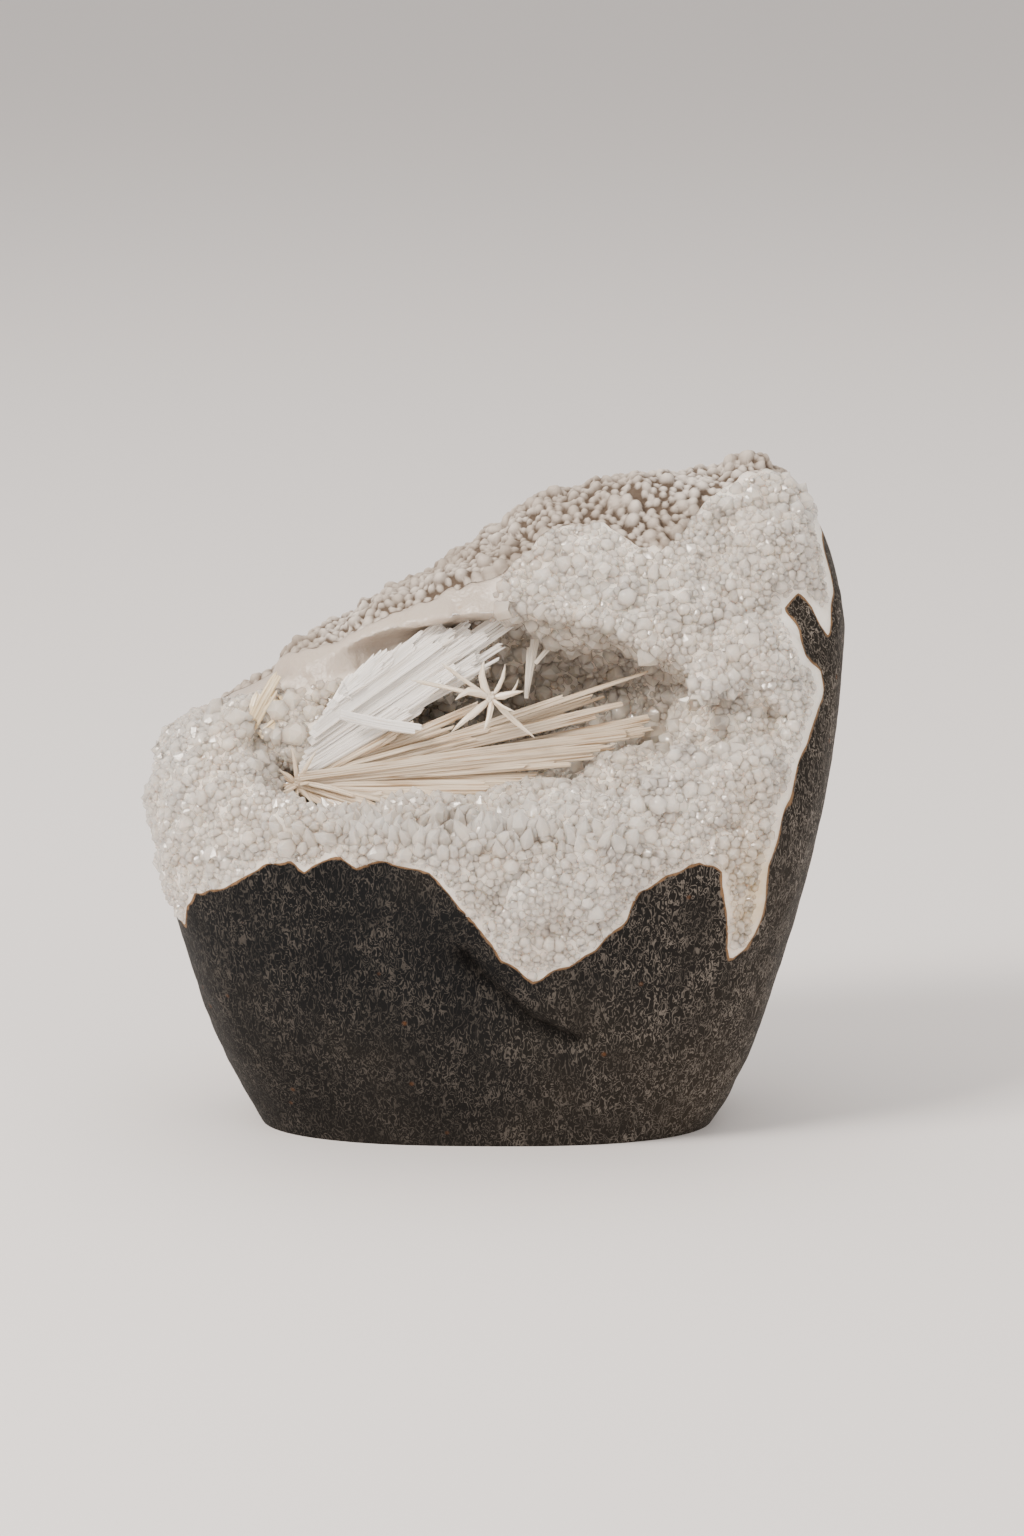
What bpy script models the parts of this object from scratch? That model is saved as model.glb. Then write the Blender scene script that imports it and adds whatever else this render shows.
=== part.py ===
"""A scolecite specimen: needle sprays in a quartz-lined hollow of a ground basalt stone.

Metres, +Z up. The stone stands on its sawn base at z = 0, the open hollow looks towards -Y and up.
The origin is the middle of the base. Sizes are written in millimetres and multiplied by MM.
"""

import math
import random

import bmesh
import bpy
import numpy as np
from mathutils import Matrix, Vector
from mathutils.bvhtree import BVHTree

MM = 0.001
SEED = 11

# The stone's outline seen from the front, as (x, z), from the left foot clockwise.
# The last three points lie under the base, where the stone is sawn off.
OUTLINE = [
    (-46, 0), (-56, 21), (-62, 42), (-65.5, 61), (-63.5, 72), (-54, 78.5), (-46, 82.5),
    (-41, 86.5), (-30, 94.5), (-10, 105), (0, 111.5), (10, 117.5), (27, 121.5), (42, 123),
    (47, 125), (57, 119), (63, 107), (65.7, 90), (62, 65), (56, 41), (50, 21), (41, 0),
    (22, -26), (0, -34), (-28, -26),
]
OUTLINE_CENTRE = (4.0, 58.0)
# Where the middle of the front face and of the back face stand, as (z, y in front, y behind).
FACES = [
    (-40, -16, 18), (0, -26, 28), (20, -32, 33), (42, -37, 37), (60, -38, 39),
    (80, -27, 39), (100, -13, 36), (128, 2, 30),
]
SQUARENESS = 3.0  # 2 would round the stone like an egg, and 4 gives it flat faces
STONE_LEVELS = 5
STONE_KEPT = 0.25  # share of the stone's triangles that is kept, most of them in the lumpy rind
CORE_LEVELS = 3

# The hollow is an ellipsoid that breaks through the stone's upper front, with a recess at its right.
# Each is (centre, radii, degrees by which its long axis climbs to the right).
HOLLOWS = [((-5, -15, 78), (43, 29, 21), 6), ((41, -18, 79), (12, 10, 7), 10)]
HOLLOW_LEVELS = 3
# Mounds of the druse, as (centre, radii).
MOUNDS = [
    ((17, -28, 57), (20, 12, 11)), ((15, 0, 98), (10, 8, 7)), ((31, -5, 97), (10, 8, 7)),
    ((49, -10, 89), (9, 8, 9)), ((45, -19, 68), (10, 10, 10)), ((33, -14, 63), (10, 9, 8)),
    ((-51, -14, 64), (12, 12, 11)), ((-26, -29, 57), (15, 8, 6)), ((51, 2, 107), (10, 9, 10)),
]
MOUND_LEVELS = 2

# The line where the ground basalt gives way to quartz in front, as (x, z), and to the rind behind.
FRONT_LINE = [
    (-95, 43), (-60.9, 43.1), (-59, 41.1), (-58.2, 46), (-56.6, 49.2), (-50.6, 51.6),
    (-45.8, 55.1), (-43.6, 56.8), (-38.4, 57.9), (-35.6, 55.8), (-32.8, 58.1), (-29.1, 59),
    (-26, 56.9), (-22.7, 58.6), (-14.5, 57.3), (-10.8, 54.8), (-6.7, 49.4), (-2.6, 43.9),
    (0.1, 39.5), (2.9, 37.9), (6.5, 35.1), (9.3, 36.9), (14.8, 39.3), (19.7, 43.5),
    (23.2, 47.5), (25.7, 52.5), (30.2, 55.3), (36.7, 58.1), (40.8, 56), (41.9, 48.1),
    (41.9, 40.2), (42.9, 38), (45.7, 39.1), (47.4, 41.9), (49.1, 48.9), (49.5, 55.9),
    (52.7, 65.5), (56.6, 75.6), (60.4, 85.2), (59.9, 88.4), (57, 91.8), (55.2, 96.8),
    (53.3, 99.7), (56, 102.1), (58.8, 99.4), (61.7, 94.3), (63.2, 101.6), (62.5, 107),
    (60.7, 113), (95, 116),
]
BACK_LINE = [
    (-95, 43), (-62, 44), (-45, 50), (-30, 54), (-18, 51), (-5, 57), (8, 62), (20, 67), (30, 78),
    (40, 84), (50, 98), (60, 112), (95, 116),
]
BACK_LINE_STARTS = (2, 24)  # the line in front holds up to the first y, the one behind from the second

# The lower edge of the rind along the top, as (x, y, z).
RIND_LINE = [
    (-95, 16, 70), (-60, 16, 74), (-46, 12, 83), (-38, 4, 86), (-30, 2, 89), (-22, 3, 92),
    (-11, 4, 97), (-6, 3, 99), (-2, -3, 103), (4.7, -1, 109.3), (9, 2.2, 113.2), (19, 1.8, 114.8),
    (24, -2, 112.3), (30, -4, 110.8), (34, -1, 114), (39, 4, 118.6), (47, 9, 122.7),
    (53, 14, 122.5), (95, 16, 122),
]
RIND_OVER = 40  # how far the seam's slanting cut goes on, up and forwards
RIND_DEPTH = 27  # the y of the seam between quartz and rind, deep in the back wall
RIND_LUMP = 1.1
RIND_LIFT = 0.4  # of a lump, by which the rind stands out on the whole

CRUST = 6.0  # thickness of the quartz and of the rind
GAP = 0.35  # between pieces that touch
FAR = 95  # beyond the stone on every side
LID = 220  # a height well over it
SMALLEST_PART = 2e-8  # cubic metres: loose bits under this are left out
STEP_APART = 0.03  # keeps points of a line in order

CRYSTALS = 68
CRYSTAL_RADII = (1.3, 2.6)
CRYSTAL_TOP = 0.95  # height of a crystal's point, in radii
CRYSTAL_SINK = 2.2
CRYSTAL_TRIES = 6000
CRYSTAL_APART = 0.9  # of the sum of two crystals' radii
CRYSTAL_LEAN = 0.35
LEAST_UPRIGHT = 0.6  # cosine of the most that a crystal leans
ROCK_ROOM = 1.0  # kept between a crystal and the basalt or rind

# Scolecite needles, as (tip, width, thickness, share of the length where the needle is widest).
ROOT = (-37.7, -16.0, 67.4)
MAIN_SPRAY = [
    ((3.8, 2.0, 98.9), 3.2, 1.5, 0.7), ((0.0, 0.0, 96.0), 3.6, 1.6, 0.75),
    ((-5.6, -1.0, 98.3), 3.4, 1.5, 0.7), ((-10.3, -3.0, 95.2), 3.6, 1.7, 0.75),
    ((-18.7, -6.0, 92.7), 3.6, 1.7, 0.8), ((-28.0, -9.0, 86.6), 3.0, 1.6, 0.8),
    ((1.9, -3.0, 92.9), 3.4, 1.6, 0.7), ((-3.7, -4.0, 87.9), 3.6, 1.7, 0.75),
    ((-11.2, -6.0, 84.1), 3.2, 1.7, 0.8), ((-14.0, -3.0, 90.0), 4.0, 2.0, 0.8),
    ((-3.7, -7.0, 81.5), 2.0, 1.4, 0.7), ((-8.4, -8.0, 78.4), 2.2, 1.5, 0.7),
    ((29.3, -2.0, 85.2), 1.7, 1.3, 0.5), ((26.5, -2.0, 82.0), 1.9, 1.4, 0.6),
    ((12.3, -6.0, 79.3), 2.0, 1.5, 0.7), ((29.2, -5.0, 77.9), 2.8, 1.8, 0.85),
    ((28.2, -8.0, 75.8), 2.8, 1.8, 0.9), ((18.8, -10.0, 73.8), 2.6, 1.8, 0.85),
    ((14.1, -12.0, 72.5), 2.8, 1.8, 0.8), ((7.5, -13.0, 70.2), 2.4, 1.7, 0.8),
    ((2.9, -14.0, 68.5), 2.2, 1.6, 0.7), ((-5.0, -18.0, 65.5), 2.2, 1.6, 0.7),
    ((-13.0, -20.0, 63.0), 2.4, 1.6, 0.8),
    ((-38.5, -18.0, 76.0), 1.3, 1.0, 0.4), ((-35.0, -24.0, 63.5), 1.3, 1.0, 0.4),
    ((-32.0, -24.0, 63.0), 1.2, 1.0, 0.4),
]
ROOT_RADII = (4.2, 3.6, 3.6)
STAR_CENTRE = (-0.5, -13.0, 83.5)
STAR = [
    (-9, -1, 4), (-6.5, -4, 1.5), (-3.5, -2, 8), (0.5, 1, 10.5), (4, -3, 4.5), (7, -2, 1),
    (8.5, 1, -5), (4.5, -4, -6), (0, -5, -7.5), (-5, -2, -5), (-9, 0, -3.5), (3.5, 11, 4),
]
STAR_WIDTH = 1.25
UPRIGHT_FOOT = (7.0, 3.0, 79.0)
UPRIGHT = [(0.8, 2.5, 20), (4.2, 2.5, 15.5), (-2.5, 2, 15), (2.5, 0, 12)]
UPRIGHT_WIDTH = 1.3
BACK_FOOT = (-43.0, -10.0, 74.0)
BACK_CLUSTER = [(0.5, 0, 5), (3, 3, 8), (8, 3, 7), (12, 3, 5), (5.5, 4, 8.5)]
BACK_WIDTH = 1.9
CLEARANCE = 0.8  # kept between a needle's tip and the druse
NEEDLE_ROOM = 2.2  # kept between a needle's axis and a crystal of the druse
FREE_BEYOND_FOOT = 0.5  # a needle starts inside its root, and is free that far beyond it
THIN_FOOT = 0.45  # width of a needle at its foot, in its full width
SHOULDER = (0.93, 0.8)  # (share of the length, share of the width) where the point begins
FOOT_SPREAD = 0.15  # of the root's radii
TWIST = 0.35
POINTED_SHARE = 0.7  # of the broad blades, and all the thin ones
BROAD = 2.0
SIX_SIDED_FROM = 3.0
SMALL_KNUCKLE = (1.3, 1.3, 1.3)


def smooth_points(points, per_span, closed):
    """Points along a Catmull-Rom curve through the given ones."""
    p = np.array(points, float)
    n = len(p)
    spans = n if closed else n - 1
    found = []
    for i in range(spans):
        if closed:
            a, b, c, d = (p[(i + k) % n] for k in (-1, 0, 1, 2))
        else:
            a, b, c, d = (p[min(max(i + k, 0), n - 1)] for k in (-1, 0, 1, 2))
        for s in range(per_span):
            t = s / per_span
            linear = 2 * b + (c - a) * t
            square = (2 * a - 5 * b + 4 * c - d) * t**2
            cube = (3 * b - a - 3 * c + d) * t**3
            found.append(0.5 * (linear + square + cube))
    if not closed:
        found.append(p[-1])
    return np.array(found)


def outline_radius():
    """(angles, radii) of the outline about its centre, ready for np.interp."""
    curve = smooth_points(OUTLINE, 8, closed=True) - np.array(OUTLINE_CENTRE)
    angles = np.arctan2(curve[:, 1], curve[:, 0])
    order = np.argsort(angles)
    return angles[order], np.hypot(curve[:, 0], curve[:, 1])[order]


OUTLINE_ANGLES, OUTLINE_RADII = outline_radius()
FACE_CURVE = smooth_points(FACES, 8, closed=False)
RIND_CURVE = np.array(RIND_LINE, float)
BACK_CURVE = np.array(BACK_LINE, float)


def clear_scene():
    for obj in list(bpy.data.objects):
        bpy.data.objects.remove(obj)


def link(name, bm, collection):
    mesh = bpy.data.meshes.new(name)
    bmesh.ops.recalc_face_normals(bm, faces=bm.faces)
    if bm.calc_volume(signed=True) < 0:
        bmesh.ops.reverse_faces(bm, faces=bm.faces)
    bm.to_mesh(mesh)
    bm.free()
    obj = bpy.data.objects.new(name, mesh)
    collection.objects.link(obj)
    return obj


def copy_of(obj, name, collection):
    twin = bpy.data.objects.new(name, obj.data.copy())
    collection.objects.link(twin)
    return twin


def boolean(target, operation, cutter, self_crossing=False):
    """Cuts, joins or keeps what is common, and leaves the result as target's own mesh."""
    modifier = target.modifiers.new(operation.lower(), "BOOLEAN")
    modifier.operation = operation
    modifier.solver = "EXACT"
    modifier.use_self = self_crossing
    modifier.object = cutter
    graph = bpy.context.evaluated_depsgraph_get()
    mesh = bpy.data.meshes.new_from_object(target.evaluated_get(graph))
    target.modifiers.clear()
    target.data = mesh
    return target


def thinned(obj, kept):
    """Drops triangles where the surface is smooth."""
    if kept < 1:
        modifier = obj.modifiers.new("thin", "DECIMATE")
        modifier.ratio = kept
        graph = bpy.context.evaluated_depsgraph_get()
        mesh = bpy.data.meshes.new_from_object(obj.evaluated_get(graph))
        obj.modifiers.clear()
        obj.data = mesh
    return obj


def tree_of(obj):
    return BVHTree.FromPolygons(
        [v.co.copy() for v in obj.data.vertices], [tuple(p.vertices) for p in obj.data.polygons]
    )


def stone_point(direction, shrink):
    """The stone's surface in one direction, in millimetres: the outline swelled to both faces."""
    across = math.hypot(direction.x, direction.z)
    reach = (across**SQUARENESS + abs(direction.y) ** SQUARENESS) ** (-1 / SQUARENESS)
    angle = math.atan2(direction.z, direction.x)
    radius = np.interp(angle, OUTLINE_ANGLES, OUTLINE_RADII, period=2 * math.pi) - shrink
    x = OUTLINE_CENTRE[0] + radius * reach * direction.x
    z = OUTLINE_CENTRE[1] + radius * reach * direction.z
    front, back = (np.interp(z, FACE_CURVE[:, 0], FACE_CURVE[:, k]) for k in (1, 2))
    half = (back - front) / 2 - shrink
    return Vector((x, (front + back) / 2 + half * reach * direction.y, z))


def under_rind(p):
    """How far behind the rind's lower edges a point lies, in millimetres, less than 0 outside it."""
    seam_y = np.interp(p.x, RIND_CURVE[:, 0], RIND_CURVE[:, 1])
    seam_z = np.interp(p.x, RIND_CURVE[:, 0], RIND_CURVE[:, 2])
    behind = ((p.y - seam_y) + (p.z - seam_z)) * math.sqrt(0.5)
    if p.y > RIND_DEPTH:
        behind = max(behind, p.y - RIND_DEPTH)
    return min(behind, p.z - np.interp(p.x, BACK_CURVE[:, 0], BACK_CURVE[:, 1]))


def stone(name, collection, levels, shrink=0.0, lumps=0.0):
    """The closed stone, sawn off flat at the base, with its rind raised in lumps."""
    bm = bmesh.new()
    bmesh.ops.create_icosphere(bm, subdivisions=levels, radius=1.0)
    for v in bm.verts:
        direction = v.co.normalized()
        p = stone_point(direction, shrink)
        if lumps and under_rind(p) > 1.0:
            out = (p - Vector((OUTLINE_CENTRE[0], 0, OUTLINE_CENTRE[1]))).normalized()
            p += out * lumps * (RIND_LIFT + random.uniform(-1, 1))
        v.co = p * MM
    cut = bmesh.ops.bisect_plane(
        bm, geom=bm.verts[:] + bm.edges[:] + bm.faces[:], dist=1e-6,
        plane_co=(0, 0, 0), plane_no=(0, 0, -1), clear_outer=True,
    )
    rim = [e for e in cut["geom_cut"] if isinstance(e, bmesh.types.BMEdge)]
    bmesh.ops.contextual_create(bm, geom=rim)
    return thinned(link(name, bm, collection), STONE_KEPT if levels == STONE_LEVELS else 1.0)


def ellipsoid(name, collection, levels, centre, radii, rise=0.0, grow=0.0):
    bm = bmesh.new()
    bmesh.ops.create_icosphere(bm, subdivisions=levels, radius=1.0)
    turn = Matrix.Rotation(math.radians(-rise), 3, "Y")
    for v in bm.verts:
        p = Vector([c * (r + grow) for c, r in zip(v.co, radii)])
        v.co = (turn @ p + Vector(centre)) * MM
    return link(name, bm, collection)


def cut_hollows(target, collection, levels, grow=0.0):
    for k, (centre, radii, rise) in enumerate(HOLLOWS):
        name = f"hollow_{k}_{target.name}"
        boolean(target, "DIFFERENCE", ellipsoid(name, collection, levels, centre, radii, rise, grow))
    return target


def loft(name, collection, rows):
    """A closed solid through rows of matching points, in millimetres."""
    bm = bmesh.new()
    rings = [[bm.verts.new(Vector(p) * MM) for p in row] for row in rows]
    for a, b in zip(rings, rings[1:]):
        for i in range(len(a)):
            j = (i + 1) % len(a)
            bm.faces.new((a[i], a[j], b[i]))
            bm.faces.new((a[j], b[j], b[i]))
    ends = [bm.faces.new(rings[0]), bm.faces.new(rings[-1][::-1])]
    bmesh.ops.triangulate(bm, faces=ends)
    return link(name, bm, collection)


def lowered(line, by):
    """A line of (x, z) moved sideways to its right-hand side, which is down when it runs right."""
    p = np.array(line, float)
    along = np.gradient(p, axis=0)
    along /= np.linalg.norm(along, axis=1)[:, None]
    return p + np.stack((along[:, 1], -along[:, 0]), axis=1) * by


def line_behind():
    """The line behind, with one point for each of the front's, in the same order from left to right."""
    x = np.array(FRONT_LINE, float)[:, 0]
    so_far = np.maximum.accumulate(x)
    from_here = np.minimum.accumulate(x[::-1])[::-1]
    x = (so_far + from_here) / 2 + np.arange(len(x)) * STEP_APART
    return np.stack((x, np.interp(x, BACK_CURVE[:, 0], BACK_CURVE[:, 1])), axis=1)


def above_basalt(name, collection, grow=0.0):
    """The space above the line where the basalt ends, from far in front to far behind."""
    lid = [(FAR, LID), (-FAR, LID)]
    front = [tuple(p) for p in lowered(FRONT_LINE, grow)] + lid
    back = [tuple(p) for p in lowered(line_behind(), grow)] + lid
    rows = []
    for line, y in ((front, -FAR), (front, BACK_LINE_STARTS[0]), (back, BACK_LINE_STARTS[1]), (back, FAR)):
        rows.append([(x, y, z) for x, z in line])
    return loft(name, collection, rows)


def behind_rind_line(name, collection, grow=0.0):
    """The space behind the seam between quartz and rind."""
    rows = []
    for x, y, z in RIND_LINE:
        y -= grow
        down = RIND_DEPTH - grow - y
        rear = y + down
        top = z + RIND_OVER
        profile = [(y - RIND_OVER, top), (y, z), (rear, z - down), (rear, -FAR), (FAR, -FAR), (FAR, top)]
        rows.append([(x, b, c) for b, c in profile])
    return loft(name, collection, rows)


def drop_small_parts(obj, least):
    """Removes loose bits and sealed bubbles: every loose part under the given volume in cubic metres."""
    bm = bmesh.new()
    bm.from_mesh(obj.data)
    seen = set()
    doomed = []
    for start in bm.faces:
        if start in seen:
            continue
        part = []
        todo = [start]
        seen.add(start)
        while todo:
            face = todo.pop()
            part.append(face)
            for edge in face.edges:
                for other in edge.link_faces:
                    if other not in seen:
                        seen.add(other)
                        todo.append(other)
        volume = 0.0
        for face in part:
            corners = [v.co for v in face.verts]
            for a, b in zip(corners[1:], corners[2:]):
                volume += corners[0].dot(a.cross(b)) / 6
        if volume < least:
            doomed += part
    bmesh.ops.delete(bm, geom=doomed, context="FACES")
    bm.to_mesh(obj.data)
    bm.free()


def prism(bm, foot, tip, sides, widths, thickness, turn, point):
    """A straight crystal. widths are (share of the length, width) pairs, and its point is at tip."""
    along = (tip - foot).normalized()
    side = along.orthogonal().normalized()
    side = Matrix.Rotation(turn, 3, along) @ side
    other = along.cross(side)
    length = (tip - foot).length
    rings = []
    for share, width in widths:
        centre = foot + along * length * share
        ring = []
        for k in range(sides):
            a = 2 * math.pi * k / sides
            flat = min(thickness, width)
            spoke = side * math.cos(a) * width / 2 + other * math.sin(a) * flat / 2
            ring.append(bm.verts.new(centre + spoke))
        rings.append(ring)
    for a, b in zip(rings, rings[1:]):
        for i in range(sides):
            j = (i + 1) % sides
            bm.faces.new((a[i], a[j], b[j], b[i]))
    bm.faces.new(rings[0][::-1])
    if point:
        top = bm.verts.new(tip)
        last = rings[-1]
        for i in range(sides):
            bm.faces.new((last[i], last[(i + 1) % sides], top))
    else:
        bm.faces.new(rings[-1])


def off_segment(point, ends):
    """The distance from a point to a straight needle."""
    foot, tip = ends
    along = tip - foot
    share = min(max((point - foot).dot(along) / along.length_squared, 0), 1)
    return (point - foot - along * share).length


def druse_crystals(collection, exposed, rocks, axes):
    """Quartz crystals that stand out of the druse, clear of the needles, in one mesh whose parts cross."""
    bm = bmesh.new()
    spots = []
    points = [v.co for v in exposed.data.vertices]
    faces = []
    weights = []
    exposed.data.calc_loop_triangles()
    for p in exposed.data.loop_triangles:
        a, b, c = (points[i] for i in p.vertices)
        faces.append((a, b, c, p.normal.copy()))
        weights.append(p.area)
    for a, b, c, normal in random.choices(faces, weights, k=CRYSTAL_TRIES):
        if len(spots) == CRYSTALS:
            break
        s, t = random.random(), random.random()
        if s + t > 1:
            s, t = 1 - s, 1 - t
        at = a + (b - a) * s + (c - a) * t
        radius = random.uniform(*CRYSTAL_RADII) * MM
        if any((at - q).length < CRYSTAL_APART * (radius + r) for q, r in spots):
            continue
        tilt = Vector([random.gauss(0, CRYSTAL_LEAN) for _ in range(3)])
        along = (normal + tilt).normalized()
        room = min(rock.find_nearest(at)[3] for rock in rocks)
        if room < radius + ROCK_ROOM * MM or along.dot(normal) < LEAST_UPRIGHT:
            continue
        if any(off_segment(at + normal * radius, ends) < radius + NEEDLE_ROOM * MM for ends in axes):
            continue
        foot = at - along * CRYSTAL_SINK * MM
        body = radius * random.uniform(0.1, 0.6)
        tip = at + along * (body + CRYSTAL_TOP * radius)
        shoulder = 1 - CRYSTAL_TOP * radius / (tip - foot).length
        wide = 2 * radius
        prism(bm, foot, tip, 6, ((0, wide), (shoulder, wide)), wide, random.uniform(0, 1), True)
        spots.append((at, radius))
    return link("crystals", bm, collection)


def needle_widths(width, widest):
    share, narrower = SHOULDER
    return ((0, width * THIN_FOOT), (widest, width), (share, width * narrower))


def clipped(foot, tip, rock, free):
    """The tip, drawn back where the needle would run into the rock. It is free up to a length."""
    along = (tip - foot).normalized()
    length = (tip - foot).length
    hit = rock.ray_cast(foot + along * free, along, length)
    if hit[0] is None:
        return tip
    return foot + along * min(length, free + hit[3] - CLEARANCE * MM)


def needles(name, collection, foot, tips, rock, knuckle):
    """A spray of needles joined at one foot. tips hold (tip, width, thickness, widest share)."""
    shade = random.Random(SEED + len(tips))
    solid = ellipsoid(name, collection, 1 if max(knuckle) < 2 else 2, foot, knuckle)
    foot = Vector(foot) * MM
    for k, (tip, width, thickness, widest) in enumerate(tips):
        start = foot + Vector([shade.uniform(-FOOT_SPREAD, FOOT_SPREAD) * r for r in knuckle]) * MM
        end = clipped(foot, Vector(tip) * MM, rock, (max(knuckle) + FREE_BEYOND_FOOT) * MM)
        widths = [(share, w * MM) for share, w in needle_widths(width, widest)]
        pointed = width < BROAD or shade.random() < POINTED_SHARE
        bm = bmesh.new()
        sides = 6 if width > SIX_SIDED_FROM else 4
        prism(bm, start, end, sides, widths, thickness * MM, shade.uniform(-TWIST, TWIST), pointed)
        boolean(solid, "UNION", link(f"{name}_{k}", bm, collection))
    return solid


def material(name, colour, roughness, transmission=0.0):
    made = bpy.data.materials.new(name)
    made.use_nodes = True
    shader = made.node_tree.nodes["Principled BSDF"]
    shader.inputs["Base Color"].default_value = (*colour, 1)
    shader.inputs["Roughness"].default_value = roughness
    shader.inputs["Transmission Weight"].default_value = transmission
    made.diffuse_color = (*colour, 1)
    return made


def main():
    random.seed(SEED)
    clear_scene()
    parts = bpy.data.collections.new("Scolecite")
    helpers = bpy.data.collections.new("Cutters")
    for collection in (parts, helpers):
        bpy.context.scene.collection.children.link(collection)

    whole = cut_hollows(stone("whole", helpers, STONE_LEVELS, lumps=RIND_LUMP), helpers, HOLLOW_LEVELS)
    core = cut_hollows(stone("core", helpers, CORE_LEVELS, CRUST), helpers, CORE_LEVELS - 1, CRUST)
    core_tight = cut_hollows(
        stone("core_tight", helpers, CORE_LEVELS, CRUST + GAP), helpers, CORE_LEVELS - 1, CRUST + GAP
    )
    skin_space = above_basalt("skin_space", helpers)
    skin_space_grown = above_basalt("skin_space_grown", helpers, GAP)
    rind_space = behind_rind_line("rind_space", helpers)
    rind_space_grown = behind_rind_line("rind_space_grown", helpers, 2 * GAP)

    basalt = copy_of(whole, "basalt_matrix", parts)
    boolean(skin_space_grown, "DIFFERENCE", core_tight)
    boolean(basalt, "DIFFERENCE", skin_space_grown)

    rind = copy_of(whole, "nodular_rind", parts)
    boolean(rind, "INTERSECT", skin_space)
    boolean(rind, "INTERSECT", rind_space)
    boolean(rind, "DIFFERENCE", core)

    druse = copy_of(whole, "quartz_druse", parts)
    for k, (centre, radii) in enumerate(MOUNDS):
        boolean(druse, "UNION", ellipsoid(f"mound_{k}", helpers, MOUND_LEVELS, centre, radii))
    boolean(druse, "INTERSECT", skin_space)
    boolean(druse, "DIFFERENCE", rind_space_grown)
    boolean(druse, "DIFFERENCE", core)

    for obj in (basalt, rind, druse):
        drop_small_parts(obj, SMALLEST_PART)

    rocks = [tree_of(basalt), tree_of(rind)]
    bare = tree_of(druse)
    star = [(tuple(Vector(STAR_CENTRE) + Vector(v)), STAR_WIDTH, 1.0, 0.35) for v in STAR]
    upright = [(tuple(Vector(UPRIGHT_FOOT) + Vector(v)), UPRIGHT_WIDTH, 1.0, 0.4) for v in UPRIGHT]
    back = [(tuple(Vector(BACK_FOOT) + Vector(v)), BACK_WIDTH, 1.3, 0.7) for v in BACK_CLUSTER]
    sprays = (
        ("scolecite_main_spray", ROOT, MAIN_SPRAY, ROOT_RADII),
        ("scolecite_star", STAR_CENTRE, star, SMALL_KNUCKLE),
        ("scolecite_upright_needles", UPRIGHT_FOOT, upright, SMALL_KNUCKLE),
        ("scolecite_back_cluster", BACK_FOOT, back, SMALL_KNUCKLE),
    )
    axes = []
    for name, foot, tips, knuckle in sprays:
        copy_of(needles(name + "_joined", helpers, foot, tips, bare, knuckle), name, parts)
        foot = Vector(foot) * MM
        free = (max(knuckle) + FREE_BEYOND_FOOT) * MM
        axes += [(foot, clipped(foot, Vector(tip[0]) * MM, bare, free)) for tip in tips]
    boolean(druse, "UNION", druse_crystals(helpers, druse, rocks, axes), self_crossing=True)
    for name, foot, tips, knuckle in sprays:
        boolean(druse, "DIFFERENCE", ellipsoid(name + "_socket", helpers, 2, foot, knuckle, 0, GAP))
    drop_small_parts(druse, SMALLEST_PART)

    for obj in helpers.objects:
        obj.hide_render = True
        obj.display_type = "WIRE"
    looks = {
        "basalt_matrix": material("basalt", (0.06, 0.06, 0.065), 0.75),
        "quartz_druse": material("milky_quartz", (0.82, 0.80, 0.77), 0.25, 0.3),
        "nodular_rind": material("rind", (0.52, 0.46, 0.40), 0.8),
        "scolecite": material("scolecite", (0.88, 0.85, 0.79), 0.35, 0.1),
    }
    for obj in parts.objects:
        key = "scolecite" if obj.name.startswith("scolecite") else obj.name
        look = looks[key].copy() if key == "scolecite" else looks[key]
        obj.data.materials.clear()
        obj.data.materials.append(look)


main()
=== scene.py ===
"""The looks of the scolecite specimen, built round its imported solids.

Everything is in metres in the row's frame. Lengths that describe the stone are in millimetres times MM.
"""

import math

import bmesh
import bpy
import numpy as np
from mathutils import Matrix, Vector
from mathutils.bvhtree import BVHTree
from mathutils.kdtree import KDTree


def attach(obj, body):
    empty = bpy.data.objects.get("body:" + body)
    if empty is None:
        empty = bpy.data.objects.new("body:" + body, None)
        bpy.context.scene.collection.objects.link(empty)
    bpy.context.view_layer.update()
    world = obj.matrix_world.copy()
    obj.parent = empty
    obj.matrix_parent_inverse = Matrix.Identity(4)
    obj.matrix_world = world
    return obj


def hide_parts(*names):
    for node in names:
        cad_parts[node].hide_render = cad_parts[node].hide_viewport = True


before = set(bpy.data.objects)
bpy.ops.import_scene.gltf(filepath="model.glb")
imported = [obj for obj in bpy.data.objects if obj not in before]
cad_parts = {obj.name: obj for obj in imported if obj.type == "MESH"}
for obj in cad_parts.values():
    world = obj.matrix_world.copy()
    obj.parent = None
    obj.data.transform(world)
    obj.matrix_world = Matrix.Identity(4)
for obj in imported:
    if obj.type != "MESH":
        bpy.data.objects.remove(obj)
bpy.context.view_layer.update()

MM = 0.001
SEED = 7
PHOTO_HEIGHT = 1536  # pixels
PIXEL = 0.19  # millimetres to a pixel of the photo, at the aim

# Camera, at the photograph's viewing angle.
AIM = Vector((2.3, 0, 67.8)) * MM
ELEVATION = math.radians(12)
DISTANCE = 900 * MM
FRAME_HEIGHT = PHOTO_HEIGHT * PIXEL * MM  # what the picture's height covers at the aim
SENSOR = 36

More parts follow.
